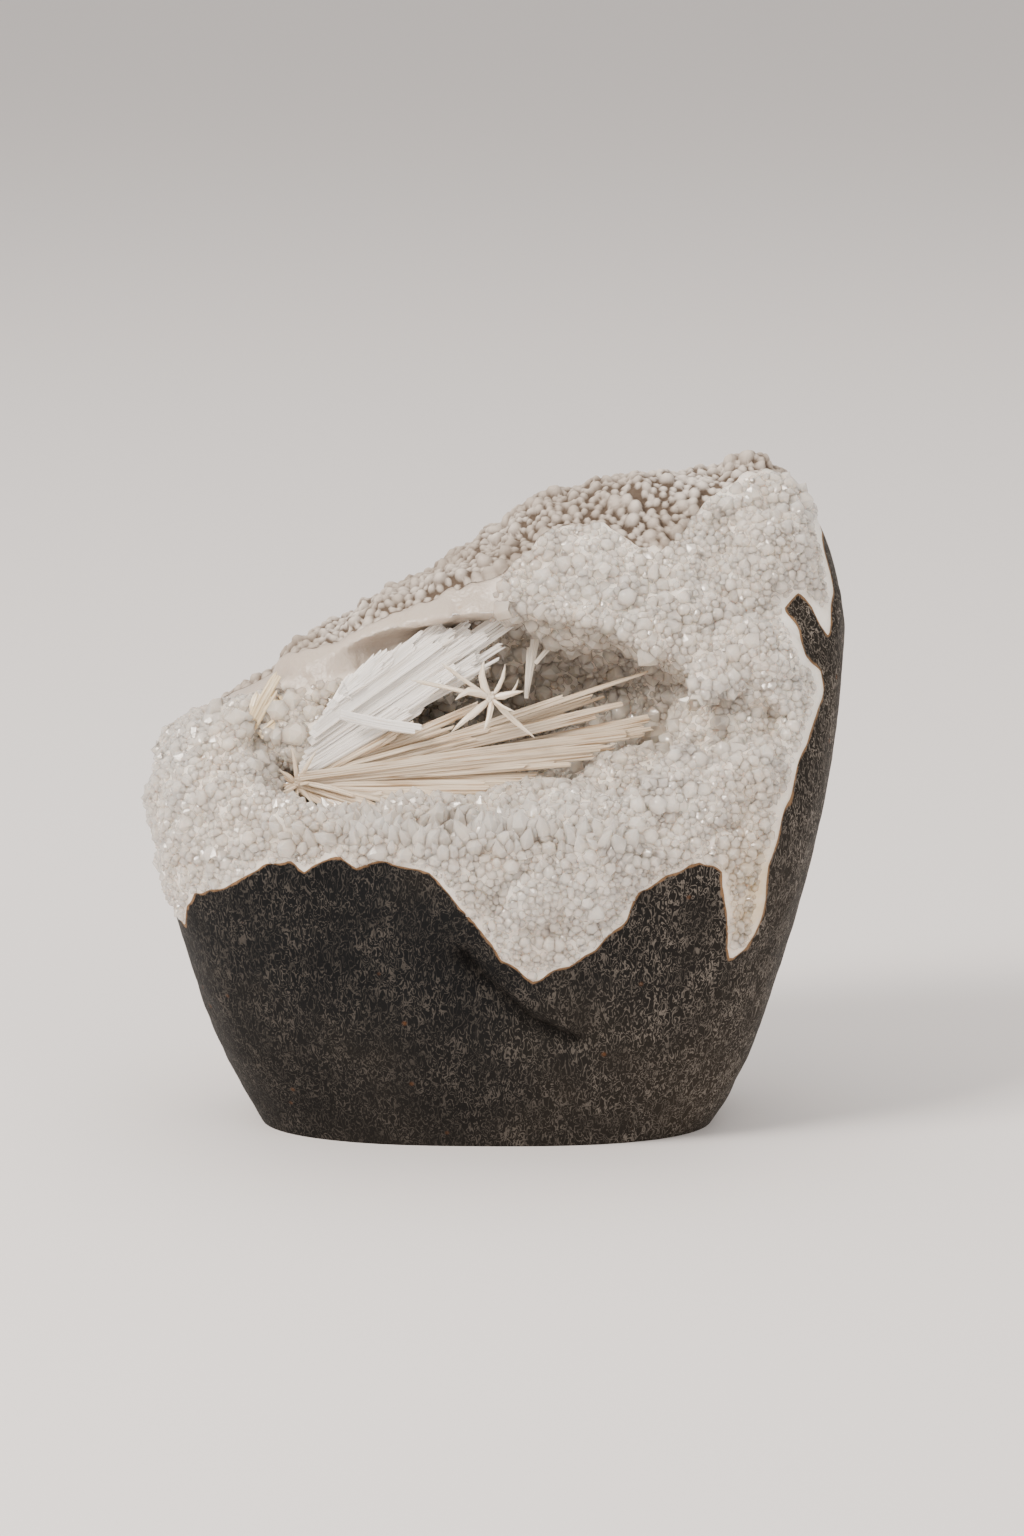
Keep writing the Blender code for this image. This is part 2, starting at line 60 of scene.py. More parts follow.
# The stone's outline seen from the front, as (x, z), and its faces as (z, y in front, y behind).
OUTLINE = [
    (-46, 0), (-56, 21), (-62, 42), (-65.5, 61), (-63.5, 72), (-54, 78.5), (-46, 82.5),
    (-41, 86.5), (-30, 94.5), (-10, 105), (0, 111.5), (10, 117.5), (27, 121.5), (42, 123),
    (47, 125), (57, 119), (63, 107), (65.7, 90), (62, 65), (56, 41), (50, 21), (41, 0),
    (22, -26), (0, -34), (-28, -26),
]
OUTLINE_CENTRE = (4.0, 58.0)
FACES = [
    (-40, -16, 18), (0, -26, 28), (20, -32, 33), (42, -37, 37), (60, -38, 39),
    (80, -27, 39), (100, -13, 36), (128, 2, 30),
]
SQUARENESS = 3.0
# Hollows cut into the stone, as (centre, radii, tilt in degrees), and mounds on it, as (centre, radii).
HOLLOWS = [((-5, -15, 78), (43, 29, 21), 6), ((41, -18, 79), (12, 10, 7), 10)]
MOUNDS = [
    ((17, -28, 57), (20, 12, 11)), ((15, 0, 98), (10, 8, 7)), ((31, -5, 97), (10, 8, 7)),
    ((49, -10, 89), (9, 8, 9)), ((45, -19, 68), (10, 10, 10)), ((33, -14, 63), (10, 9, 8)),
    ((-51, -14, 64), (12, 12, 11)), ((-26, -29, 57), (15, 8, 6)), ((51, 2, 107), (10, 9, 10)),
]
# The hollow's wall comes forward behind the upper sheaf, under the lower one and in the recess.
WALL_SWELLS = [
    ((-45, -3, 76), (10, 9, 7)), ((-31, 3, 83), (13, 11, 10)), ((-15, 7, 88), (13, 10, 8)),
    ((-14, -22, 60), (12, 7, 7)), ((9, -19, 61), (20, 9, 8)), ((25, -13, 66), (10, 8, 8)),
    ((-22, -25, 58), (18, 6, 6.5)), ((43, -12, 78), (10, 6, 6)), ((-38, -7, 75), (8, 8, 7)),
]

# Where the ground basalt gives way to quartz in front, and to the rind behind, as (x, z).
FRONT_LINE = [
    (-95, 43), (-60.9, 43.1), (-59, 41.1), (-58.2, 46), (-56.6, 49.2), (-50.6, 51.6),
    (-45.8, 55.1), (-43.6, 56.8), (-38.4, 57.9), (-35.6, 55.8), (-32.8, 58.1), (-29.1, 59),
    (-26, 56.9), (-22.7, 58.6), (-14.5, 57.3), (-10.8, 54.8), (-6.7, 49.4), (-2.6, 43.9),
    (0.1, 39.5), (2.9, 37.9), (6.5, 35.1), (9.3, 36.9), (14.8, 39.3), (19.7, 43.5),
    (23.2, 47.5), (25.7, 52.5), (30.2, 55.3), (36.7, 58.1), (40.8, 56), (41.9, 48.1),
    (41.9, 40.2), (42.9, 38), (45.7, 39.1), (47.4, 41.9), (49.1, 48.9), (49.5, 55.9),
    (52.7, 65.5), (56.6, 75.6), (60.4, 85.2), (59.9, 88.4), (57, 91.8), (55.2, 96.8),
    (53.3, 99.7), (56, 102.1), (58.8, 99.4), (61.7, 94.3), (63.2, 101.6), (62.5, 107),
    (60.7, 113), (95, 116),
]
BACK_LINE = [
    (-95, 43), (-62, 44), (-45, 50), (-30, 54), (-18, 51), (-5, 57), (8, 62), (20, 67), (30, 78),
    (40, 84), (50, 98), (60, 112), (95, 116),
]
BACK_LINE_STARTS = (2, 24)  # y between which the front line gives way to the back line
# The lower edge of the rind along the top, as (x, y, z).
RIND_LINE = [
    (-95, 16, 70), (-60, 16, 74), (-46, 12, 83), (-38, 4, 86), (-30, 2, 89), (-22, 3, 92),
    (-11, 4, 97), (-6, 3, 99), (-2, -3, 103), (4.7, -1, 109.3), (9, 2.2, 113.2), (19, 1.8, 114.8),
    (24, -2, 112.3), (30, -4, 110.8), (34, -1, 114), (39, 4, 118.6), (47, 9, 122.7),
    (53, 14, 122.5), (95, 16, 122),
]
RIND_DEPTH = 27  # y behind which all above the basalt is rind

STONE_LEVELS = 7
HOLLOW_LEVELS = 5
MOUND_LEVELS = 4
CURVE_STEPS = 8  # points to a span of a smooth line
SKIN_VOXEL = 0.95
BLEND_ROUNDS = 8  # of smoothing, which melts mounds and hollows into the stone
BLEND_FACTOR = 0.5
CLEAR_OF_END = 0.02  # share of an edge that a cut keeps from either end
SEAM_WAVES = (5, 3, 0.8)  # width, seed and height of the waves that roughen the seams
BASALT_JITTER = 0.5
RIND_JITTER = 1.5
FARTHEST = 40  # millimetres, the most that a distance from the rind's edge says

# How slow waves add up to smooth random numbers.
OCTAVES = 3
WAVES = 5
WAVE_RATE = 2.2


def smooth_points(points, per_span, closed):
    """Points along a Catmull-Rom curve through the given ones."""
    p = np.array(points, float)
    n = len(p)
    spans = n if closed else n - 1
    found = []
    for i in range(spans):
        if closed:
            a, b, c, d = (p[(i + k) % n] for k in (-1, 0, 1, 2))
        else:
            a, b, c, d = (p[min(max(i + k, 0), n - 1)] for k in (-1, 0, 1, 2))
        for s in range(per_span):
            t = s / per_span
            linear = 2 * b + (c - a) * t
            square = (2 * a - 5 * b + 4 * c - d) * t**2
            cube = (3 * b - a - 3 * c + d) * t**3
            found.append(0.5 * (linear + square + cube))
    if not closed:
        found.append(p[-1])
    return np.array(found)


def clamp(x):
    return np.clip(x, 0, 1)


# Small tools for meshes


def points_of(mesh):
    co = np.empty(len(mesh.vertices) * 3)
    mesh.vertices.foreach_get("co", co)
    return co.reshape(-1, 3)


def normals_of(mesh):
    no = np.empty(len(mesh.vertices) * 3)
    mesh.vertex_normals.foreach_get("vector", no)
    return no.reshape(-1, 3)


def set_points(mesh, co):
    mesh.vertices.foreach_set("co", co.ravel())
    mesh.update()


def paint(mesh, name, values):
    """Puts a number on each point, for the materials."""
    mesh.attributes.new(name, "FLOAT", "POINT").data.foreach_set("value", values)


def numbers_of(mesh, name):
    return np.array([d.value for d in mesh.attributes[name].data])


def unit(vectors):
    return vectors / np.linalg.norm(vectors, axis=1)[:, None]


def put(name, data):
    """A new object in the scene."""
    obj = bpy.data.objects.new(name, data)
    bpy.context.scene.collection.objects.link(obj)
    return obj


def add_piece(name, mesh, replaced, look, smooth=True):
    """A visible piece that rides on the only body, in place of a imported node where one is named."""
    obj = put(name, mesh)
    mesh.materials.clear()
    mesh.materials.append(look)
    mesh.polygons.foreach_set("use_smooth", [smooth] * len(mesh.polygons))
    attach(obj, "root")
    if replaced:
        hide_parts(replaced)
    return obj


def mesh_from(name, verts, faces):
    mesh = bpy.data.meshes.new(name)
    mesh.from_pydata(verts, [], faces)
    mesh.update()
    return mesh


def evaluated(mesh, *modifiers):
    """The mesh after modifiers, each a (type, {setting: value})."""
    obj = put("work", mesh)
    for kind, settings in modifiers:
        modifier = obj.modifiers.new(kind.lower(), kind)
        for key, value in settings.items():
            setattr(modifier, key, value)
    graph = bpy.context.evaluated_depsgraph_get()
    result = bpy.data.meshes.new_from_object(obj.evaluated_get(graph))
    bpy.data.objects.remove(obj)
    return result


def unit_ball(levels):
    bm = bmesh.new()
    bmesh.ops.create_icosphere(bm, subdivisions=levels, radius=1.0)
    mesh = bpy.data.meshes.new("ball")
    bm.to_mesh(mesh)
    bm.free()
    return mesh


def ball(levels, centre, radii, rise=0.0):
    """A ball with three radii, tilted by rise degrees as seen from the front."""
    mesh = unit_ball(levels)
    a = math.radians(rise)
    co = points_of(mesh) * np.array(radii)
    x = co[:, 0] * math.cos(a) - co[:, 2] * math.sin(a)
    z = co[:, 0] * math.sin(a) + co[:, 2] * math.cos(a)
    set_points(mesh, (np.stack((x, co[:, 1], z), axis=1) + np.array(centre)) * MM)
    return mesh


def combined(mesh, operation, other):
    cutter = put("cutter", other)
    settings = {"operation": operation, "solver": "MANIFOLD", "object": cutter}
    result = evaluated(mesh, ("BOOLEAN", settings))
    bpy.data.objects.remove(cutter)
    return result


# The whole stone's surface


def stone_mesh():
    """The closed stone, swelled from its outline to its front and back faces."""
    mesh = unit_ball(STONE_LEVELS)
    d = unit(points_of(mesh))
    curve = smooth_points(OUTLINE, CURVE_STEPS, closed=True) - np.array(OUTLINE_CENTRE)
    angles = np.arctan2(curve[:, 1], curve[:, 0])
    order = np.argsort(angles)
    reaches = np.hypot(curve[:, 0], curve[:, 1])
    across = np.hypot(d[:, 0], d[:, 2])
    reach = (across**SQUARENESS + np.abs(d[:, 1]) ** SQUARENESS) ** (-1 / SQUARENESS)
    around = np.arctan2(d[:, 2], d[:, 0])
    radius = np.interp(around, angles[order], reaches[order], period=2 * math.pi)
    x = OUTLINE_CENTRE[0] + radius * reach * d[:, 0]
    z = OUTLINE_CENTRE[1] + radius * reach * d[:, 2]
    faces = smooth_points(FACES, CURVE_STEPS, closed=False)
    front, back = (np.interp(z, faces[:, 0], faces[:, k]) for k in (1, 2))
    y = (front + back) / 2 + (back - front) / 2 * reach * d[:, 1]
    set_points(mesh, np.stack((x, y, z), axis=1) * MM)
    return mesh


def carved_stone():
    """The stone with its hollows and mounds, melted together and cut flat at the base."""
    mesh = stone_mesh()
    for centre, radii, rise in HOLLOWS:
        mesh = combined(mesh, "DIFFERENCE", ball(HOLLOW_LEVELS, centre, radii, rise))
    for centre, radii in MOUNDS + WALL_SWELLS:
        mesh = combined(mesh, "UNION", ball(MOUND_LEVELS, centre, radii))
    skin = {"mode": "VOXEL", "voxel_size": SKIN_VOXEL * MM, "use_smooth_shade": True}
    mesh = evaluated(mesh, ("REMESH", skin))
    mesh = evaluated(mesh, ("SMOOTH", {"factor": BLEND_FACTOR, "iterations": BLEND_ROUNDS}))
    bm = bmesh.new()
    bm.from_mesh(mesh)
    cut = bmesh.ops.bisect_plane(
        bm, geom=bm.verts[:] + bm.edges[:] + bm.faces[:], dist=1e-6,
        plane_co=(0, 0, 0), plane_no=(0, 0, -1), clear_outer=True,
    )
    rim = [e for e in cut["geom_cut"] if isinstance(e, bmesh.types.BMEdge)]
    bmesh.ops.contextual_create(bm, geom=rim)
    bmesh.ops.triangulate(bm, faces=bm.faces)
    bm.to_mesh(mesh)
    bm.free()
    return mesh


# Which part of the surface is which


def line_distance(p, line, lid=220.0):
    """Signed distance in (x, z) from a line, above it more than 0."""
    a = np.array(line, float)
    b = a[1:]
    a = a[:-1]
    best = np.full(len(p), 1e9)
    for s, e in zip(a, b):
        d = e - s
        t = clamp(((p - s) @ d) / (d @ d))
        best = np.minimum(best, np.linalg.norm(p - s - t[:, None] * d, axis=1))
    ring = list(line) + [(line[-1][0], lid), (line[0][0], lid)]
    inside = np.zeros(len(p), bool)
    for (x0, z0), (x1, z1) in zip(ring, ring[1:] + ring[:1]):
        crosses = (z0 > p[:, 1]) != (z1 > p[:, 1])
        rise = z1 - z0 if z1 != z0 else 1e-9
        inside ^= crosses & (p[:, 0] < (x1 - x0) * (p[:, 1] - z0) / rise + x0)
    return np.where(inside, best, -best)


def above_basalt(co):
    """How far each point, in millimetres, lies above the line where the basalt ends."""
    flat = co[:, [0, 2]]
    start, end = BACK_LINE_STARTS
    share = clamp((co[:, 1] - start) / (end - start))
    return line_distance(flat, FRONT_LINE) * (1 - share) + line_distance(flat, BACK_LINE) * share


def behind_rind_line(co):
    """How far each point, in millimetres, lies behind the edge of the rind."""
    seam = np.array(RIND_LINE, float)
    y, z = (np.interp(co[:, 0], seam[:, 0], seam[:, k]) for k in (1, 2))
    behind = ((co[:, 1] - y) + (co[:, 2] - z)) * math.sqrt(0.5)
    return np.maximum(behind, co[:, 1] - RIND_DEPTH)


def wander(co, size, seed, height):
    """Smooth random numbers over space: a sum of slow waves, about as wide as size millimetres."""
    r = np.random.default_rng(seed)
    total = np.zeros(len(co))
    for octave in range(OCTAVES):
        turns = r.normal(size=(WAVES, 3)) * (2**octave) * WAVE_RATE / size
        for k in turns:
            total += np.sin(co @ k + r.uniform(0, 2 * math.pi)) / 2**octave
    return total * height / 4


def split_at(bm, level, value):
    """Cuts the mesh where a number on its points crosses a value."""
    new = []
    for e in list(bm.edges):
        a, b = e.verts
        va, vb = a[level] - value, b[level] - value
        if va * vb < 0:
            share = min(max(va / (va - vb), CLEAR_OF_END), 1 - CLEAR_OF_END)
            made = bmesh.utils.edge_split(e, a, share)[1]
            made[level] = value
            new.append(made)
    bmesh.ops.connect_verts(bm, verts=new)


def skins():
    """The stone's surface in three: basalt, druse and rind, each with its distance from its edge."""
    mesh = carved_stone()
    co = points_of(mesh) / MM
    jitter = wander(co, *SEAM_WAVES)
    basalt_line = above_basalt(co) + jitter * BASALT_JITTER
    rind_line = np.minimum(behind_rind_line(co) + jitter * RIND_JITTER, FARTHEST)
    bm = bmesh.new()
    bm.from_mesh(mesh)
    above = bm.verts.layers.float.new("above_basalt")
    behind = bm.verts.layers.float.new("behind_rind")
    for v, s, t in zip(bm.verts, basalt_line, rind_line):
        v[above] = s
        v[behind] = t
    split_at(bm, above, 0.0)
    split_at(bm, behind, 0.0)
    bmesh.ops.triangulate(bm, faces=bm.faces)
    found = {}
    for name in ("basalt", "druse", "rind"):
        part = bm.copy()
        doomed = []
        over = part.verts.layers.float["above_basalt"]
        back = part.verts.layers.float["behind_rind"]
        for f in part.faces:
            high = sum(v[over] for v in f.verts) > 0
            rear = sum(v[back] for v in f.verts) > 0
            kind = "basalt" if not high else ("rind" if rear else "druse")
            if kind != name:
                doomed.append(f)
        bmesh.ops.delete(part, geom=doomed, context="FACES")
        made = bpy.data.meshes.new(name)
        part.to_mesh(made)
        part.free()
        found[name] = made
    bm.free()
    return found


# Materials

BLACK = (0, 0, 0)
WHITE = (1, 1, 1)

# Ground basalt. Noise scales are to a millimetre.
BASALT_GROUND = [
    (0.3, (0.0035, 0.0038, 0.0044)), (0.55, (0.0062, 0.0065, 0.007)), (0.75, (0.012, 0.0105, 0.009)),
]
BROWN = (0.025, 0.0195, 0.014)
BROWN_FOOT = (0.7, 50.0)  # how brown the base is, and the millimetres up in which that fades by 1
BROWN_SIDE_PAINTED_LIGHT = 55.0  # millimetres to the right in which the brown grows by 1: painted light, paler browner ground on the lit right side
LATH = (0.20, 0.175, 0.15)
LATH_SQUEEZE = (1, 1, 0.45)  # draws the laths out upwards
LATH_ROWS = 28.0
LATH_PAINTED_LIGHT = (0.42, 110.0, 0.3)  # in the middle, millimetres to the right that add 1, and the least: painted light, laths paler towards the lit right side
# The dark line of a crack along the groove, and the painted shade on the groove's banks.
CRACK_AND_BANK_SHADE = (0.004, 0.0035, 0.003)
SPECK = (0.004, 0.004, 0.004)
RUST = (0.16, 0.065, 0.025)
RIM = (0.20, 0.12, 0.065)

# Milky quartz.
QUARTZ_PALE = (0.955, 0.885, 0.81)
QUARTZ_WARM = (0.92, 0.83, 0.73)
# painted shade of the hollow, warm and darker
QUARTZ_HOLLOW_SHADE = (0.93, 0.82, 0.69)
QUARTZ_BARE = (0.44, 0.37, 0.31)
QUARTZ_STAIN = (0.72, 0.57, 0.36)
QUARTZ_SPOT = (0.42, 0.27, 0.12)
QUARTZ_SCATTER = (0.85, 0.93, 1.0)  # less of the red, so that thick quartz stays warm white

# The rind.
RIND_CLOUD = [(0.3, (0.39, 0.325, 0.265)), (0.5, (0.57, 0.495, 0.425)), (0.7, (0.78, 0.71, 0.64))]
# Painted shade, dark brown, in the clefts between the knobs.
RIND_CLEFT_SHADE = (0.11, 0.075, 0.05)

# Scolecite, each kind as (its darker streaks, its paler streaks, strength of its fine brown lines of
# painted shade between the fibres).
# painted shade in the thin gaps along the blades
SCOLECITE_GAP_SHADE = (0.40, 0.28, 0.17)
SCOLECITE_SCATTER = (0.8, 0.9, 1.0)
SCOLECITE_KINDS = {
    "scolecite_white": ((0.95, 0.90, 0.83), (1.0, 0.985, 0.96), 0.3),
    "scolecite_cream": ((0.56, 0.43, 0.30), (0.81, 0.69, 0.54), 1.0),
    "scolecite_star": ((0.74, 0.61, 0.46), (0.88, 0.78, 0.65), 0.5),
    "scolecite_clear": ((0.92, 0.83, 0.70), (0.96, 0.90, 0.80), 0.5),
    "scolecite_yellow": ((0.68, 0.52, 0.30), (0.82, 0.69, 0.47), 0.5),
}


def nodes_of(name):
    look = bpy.data.materials.new(name)
    look.use_nodes = True
    tree = look.node_tree
    return look, tree, tree.nodes["Principled BSDF"]


def node(tree, kind, settings=None, **inputs):
    made = tree.nodes.new(kind)
    for key, value in (settings or {}).items():
        setattr(made, key, value)
    for key, value in inputs.items():
        made.inputs[key.replace("_", " ")].default_value = value
    return made


def ramp(tree, source, stops):
    made = tree.nodes.new("ShaderNodeValToRGB")
    while len(made.color_ramp.elements) < len(stops):
        made.color_ramp.elements.new(0.5)
    for element, (at, colour) in zip(made.color_ramp.elements, stops):
        element.position = at
        element.color = (*colour, 1)
    tree.links.new(source, made.inputs["Fac"])
    return made.outputs["Color"]


def mix(tree, factor, a, b):
    made = tree.nodes.new("ShaderNodeMix")
    made.data_type = "RGBA"
    for socket, value in ((made.inputs[0], factor), (made.inputs[6], a), (made.inputs[7], b)):
        if isinstance(value, (int, float)):
            socket.default_value = value
        elif isinstance(value, tuple):
            socket.default_value = (*value, 1)
        else:
            tree.links.new(value, socket)
    return made.outputs[2]


def maths(tree, operation, a, b=0.0):
    made = tree.nodes.new("ShaderNodeMath")
    made.operation = operation
    for socket, value in ((made.inputs[0], a), (made.inputs[1], b)):
        if isinstance(value, (int, float)):
            socket.default_value = value
        else:
            tree.links.new(value, socket)
    return made.outputs[0]


def times(tree, a, b):
    return maths(tree, "MULTIPLY", a, b)


def plus(tree, a, b):
    return maths(tree, "ADD", a, b)


def number(tree, name):
    """A number that was painted on the points."""
    return node(tree, "ShaderNodeAttribute", {"attribute_name": name}).outputs["Fac"]


def set_inputs(shader, values):
    for key, value in values.items():
        shader.inputs[key].default_value = value


def coat(tree, shader, colour, normal, values):
    tree.links.new(colour, shader.inputs["Base Color"])
    tree.links.new(normal, shader.inputs["Normal"])
    set_inputs(shader, values)


def place(tree, scale=(1, 1, 1)):
    """Coordinates in millimetres of the object, squeezed by a scale."""
    coords = tree.nodes.new("ShaderNodeTexCoord")
    mapping = node(tree, "ShaderNodeMapping", Scale=tuple(s / MM for s in scale))
    tree.links.new(coords.outputs["Object"], mapping.inputs["Vector"])
    return mapping.outputs["Vector"]


def noise(tree, vector, scale, detail=3.0, rough=0.5, distortion=0.0):
    made = node(
        tree, "ShaderNodeTexNoise", Scale=scale, Detail=detail, Roughness=rough, Distortion=distortion
    )
    tree.links.new(vector, made.inputs["Vector"])
    return made.outputs["Fac"]


def dots(tree, vector, scale, stops):
    """Round dots scattered over space, coloured by the distance from their middles."""
    made = node(tree, "ShaderNodeTexVoronoi", {"feature": "F1"}, Scale=scale)
    tree.links.new(vector, made.inputs["Vector"])
    return ramp(tree, made.outputs["Distance"], stops)


def bump(tree, height, strength, distance):
    made = node(tree, "ShaderNodeBump", Strength=strength, Distance=distance * MM)
    tree.links.new(height, made.inputs["Height"])
    return made.outputs["Normal"]


def basalt_look():
    """Ground basalt: dark, full of fine pale laths, browner low down, rusty where it meets the quartz.
    Painted light makes it paler and browner towards the right, and its groove holds a dark crack with
    painted shade on its banks.
    """
    look, tree, shader = nodes_of("basalt")
    at = place(tree)
    axes = tree.nodes.new("ShaderNodeSeparateXYZ")
    tree.links.new(at, axes.inputs[0])
    across, _, up = axes.outputs
    broad = noise(tree, at, 0.035, 3)
    colour = ramp(tree, broad, BASALT_GROUND)

    least, fade = BROWN_FOOT
    foot = maths(tree, "SUBTRACT", least, maths(tree, "DIVIDE", up, fade))
    # painted light: the brown also grows towards the lit right side
    side = maths(tree, "DIVIDE", across, BROWN_SIDE_PAINTED_LIGHT)
    brown_and_side_light = plus(tree, maths(tree, "MAXIMUM", foot, 0.0), maths(tree, "MAXIMUM", side, 0.0))
    colour = mix(tree, maths(tree, "MINIMUM", times(tree, brown_and_side_light, broad), 0.85), colour, BROWN)

    worms = noise(tree, place(tree, LATH_SQUEEZE), 0.9, 2, 0.5, 1.2)
    rows = maths(tree, "SINE", times(tree, worms, LATH_ROWS))
    laths = ramp(tree, rows, [(0.45, BLACK), (0.95, WHITE)])
    patch = ramp(tree, noise(tree, at, 0.16, 2), [(0.3, (0.35, 0.35, 0.35)), (0.65, WHITE)])
    # painted light: the laths grow paler towards the lit right side
    middle, reach, dimmest = LATH_PAINTED_LIGHT
    light = maths(tree, "MAXIMUM", plus(tree, middle, maths(tree, "DIVIDE", across, reach)), dimmest)
    colour = mix(tree, times(tree, times(tree, laths, patch), light), colour, LATH)

    # the groove's crack, and painted shade on its banks
    colour = mix(tree, times(tree, number(tree, "groove"), 0.65), colour, CRACK_AND_BANK_SHADE)
    specks = dots(tree, at, 0.9, [(0.0, WHITE), (0.12, BLACK)])
    colour = mix(tree, times(tree, specks, 0.7), colour, SPECK)
    rust = dots(tree, at, 0.11, [(0.0, WHITE), (0.07, BLACK)])
    colour = mix(tree, times(tree, rust, 0.6), colour, RUST)
    wavy = plus(tree, number(tree, "above_basalt"), times(tree, noise(tree, at, 0.5, 3), 1.1))
    rim = ramp(tree, plus(tree, times(tree, wavy, 0.5), 0.5), [(0.55, BLACK), (0.68, WHITE)])
    colour = mix(tree, rim, colour, RIM)

    grain = plus(tree, times(tree, laths, 0.5), noise(tree, at, 2.2, 4))
    grain = maths(tree, "SUBTRACT", grain, times(tree, specks, 0.8))
    finish = {"Roughness": 0.62, "Specular IOR Level": 0.09}
    coat(tree, shader, colour, bump(tree, grain, 0.5, 0.25), finish)
    return look


def quartz_look(name, rough, spotted, clear, grain):
    """Milky quartz: it scatters light, and is warmer deep in the hollow, where painted shade darkens it,
    and in the stained patch.
    """
    look, tree, shader = nodes_of(name)
    at = place(tree)
    cloud = ramp(tree, noise(tree, at, 0.08, 4), [(0.35, BLACK), (0.7, WHITE)])
    colour = mix(tree, cloud, QUARTZ_PALE, QUARTZ_WARM)
    # painted shade, warm and darker, deep in the hollow
    colour = mix(tree, times(tree, number(tree, "deep"), 0.4), colour, QUARTZ_HOLLOW_SHADE)
    colour = mix(tree, times(tree, number(tree, "bare"), 0.9), colour, QUARTZ_BARE)
    patchy = times(tree, number(tree, "stain"), times(tree, noise(tree, at, 0.35, 3), 1.6))
    colour = mix(tree, maths(tree, "MINIMUM", patchy, 0.9), colour, QUARTZ_STAIN)
    spots = dots(tree, at, 0.14, [(0.0, WHITE), (0.05, (0.4, 0.4, 0.4)), (0.09, BLACK)])
    colour = mix(tree, times(tree, spots, spotted), colour, QUARTZ_SPOT)
    coat(tree, shader, colour, bump(tree, noise(tree, at, 1.3, 3), 0.3, grain), {
        "Subsurface Weight": 0.9, "Subsurface Radius": QUARTZ_SCATTER, "Subsurface Scale": 3.0 * MM,
        "Transmission Weight": clear, "IOR": 1.54, "Roughness": rough,
    })
    return look


def rind_look():
    """The rind: chalky grey-beige knobs, with dark brown painted shade down in the clefts between them."""
    look, tree, shader = nodes_of("rind")
    at = place(tree)
    cloud = noise(tree, at, 0.07, 4)
    # painted shade in the clefts, broken up by the cloud
    cleft_shaded = times(tree, number(tree, "cleft_shade"), plus(tree, cloud, 0.7))
    colour = mix(tree, maths(tree, "MINIMUM", cleft_shaded, 1.0), ramp(tree, cloud, RIND_CLOUD), RIND_CLEFT_SHADE)
    knobbly = bump(tree, noise(tree, at, 1.3, 5, 0.7), 1.0, 0.6)
    coat(tree, shader, colour, knobbly, {"Roughness": 0.6})
    return look


def scolecite_look(name):
    """Silky scolecite: fine streaks along each needle, from its along and across numbers, and fine brown
    lines of painted shade for the gaps between fibres.
    """
    dark, pale, gap_shade_strength = SCOLECITE_KINDS[name]
    look, tree, shader = nodes_of(name)
    both = tree.nodes.new("ShaderNodeCombineXYZ")
    tree.links.new(times(tree, number(tree, "along"), 0.8), both.inputs[0])
    tree.links.new(times(tree, number(tree, "streak"), 2.6), both.inputs[1])
    silk = noise(tree, both.outputs[0], 1.0, 3)
    colour = mix(tree, ramp(tree, silk, [(0.35, BLACK), (0.65, WHITE)]), dark, pale)
    # painted shade: fine brown lines where the streaks are darkest, for the gaps between fibres
    gap_shade = ramp(tree, silk, [(0.34, WHITE), (0.44, BLACK)])
    colour = mix(tree, times(tree, gap_shade, gap_shade_strength), colour, SCOLECITE_GAP_SHADE)
    coat(tree, shader, colour, bump(tree, silk, 0.5, 0.15), {
        "Subsurface Weight": 0.4, "Subsurface Radius": SCOLECITE_SCATTER, "Subsurface Scale": 1.5 * MM,
        "IOR": 1.52, "Roughness": 0.24,
    })
    return look


# Basalt

# The slanting groove, as (x, z), with how deep and how wide its bed and its banks are.
GROOVE = [(-7, 39.5), (-3, 34), (1.5, 30), (5.6, 25.8), (13.9, 22)]
GROOVE_BED = (2.2, 1.3)
GROOVE_BANKS = (1.2, 5)
# The ground facet beside it, as (x, z), its reach both ways and its depth.
FACET = ((20, 38), (16, 10), 1.2)
CRACK_BEND = (2.5, 8, 0.5)  # waves that make the groove's dark line uneven, and that break it off
CRACK_BREAK = (6, 9, 1.0)
CRACK_WIDTH = 0.9
BANK_SHADE = (0.3, 4)  # how dark the groove's banks are, and how far they reach
BASALT_WAVES = ((22, 5, 0.5), (7, 6, 0.12))
FRONT_FADE = 20  # millimetres from the middle to where the groove and the facet are at their full depth
BASE_FADE = 6  # millimetres up from the flat base, and down from the quartz, left as they are
SEAM_FADE = 3


def bell(distance, width):
    return np.exp(-((distance / width) ** 2))


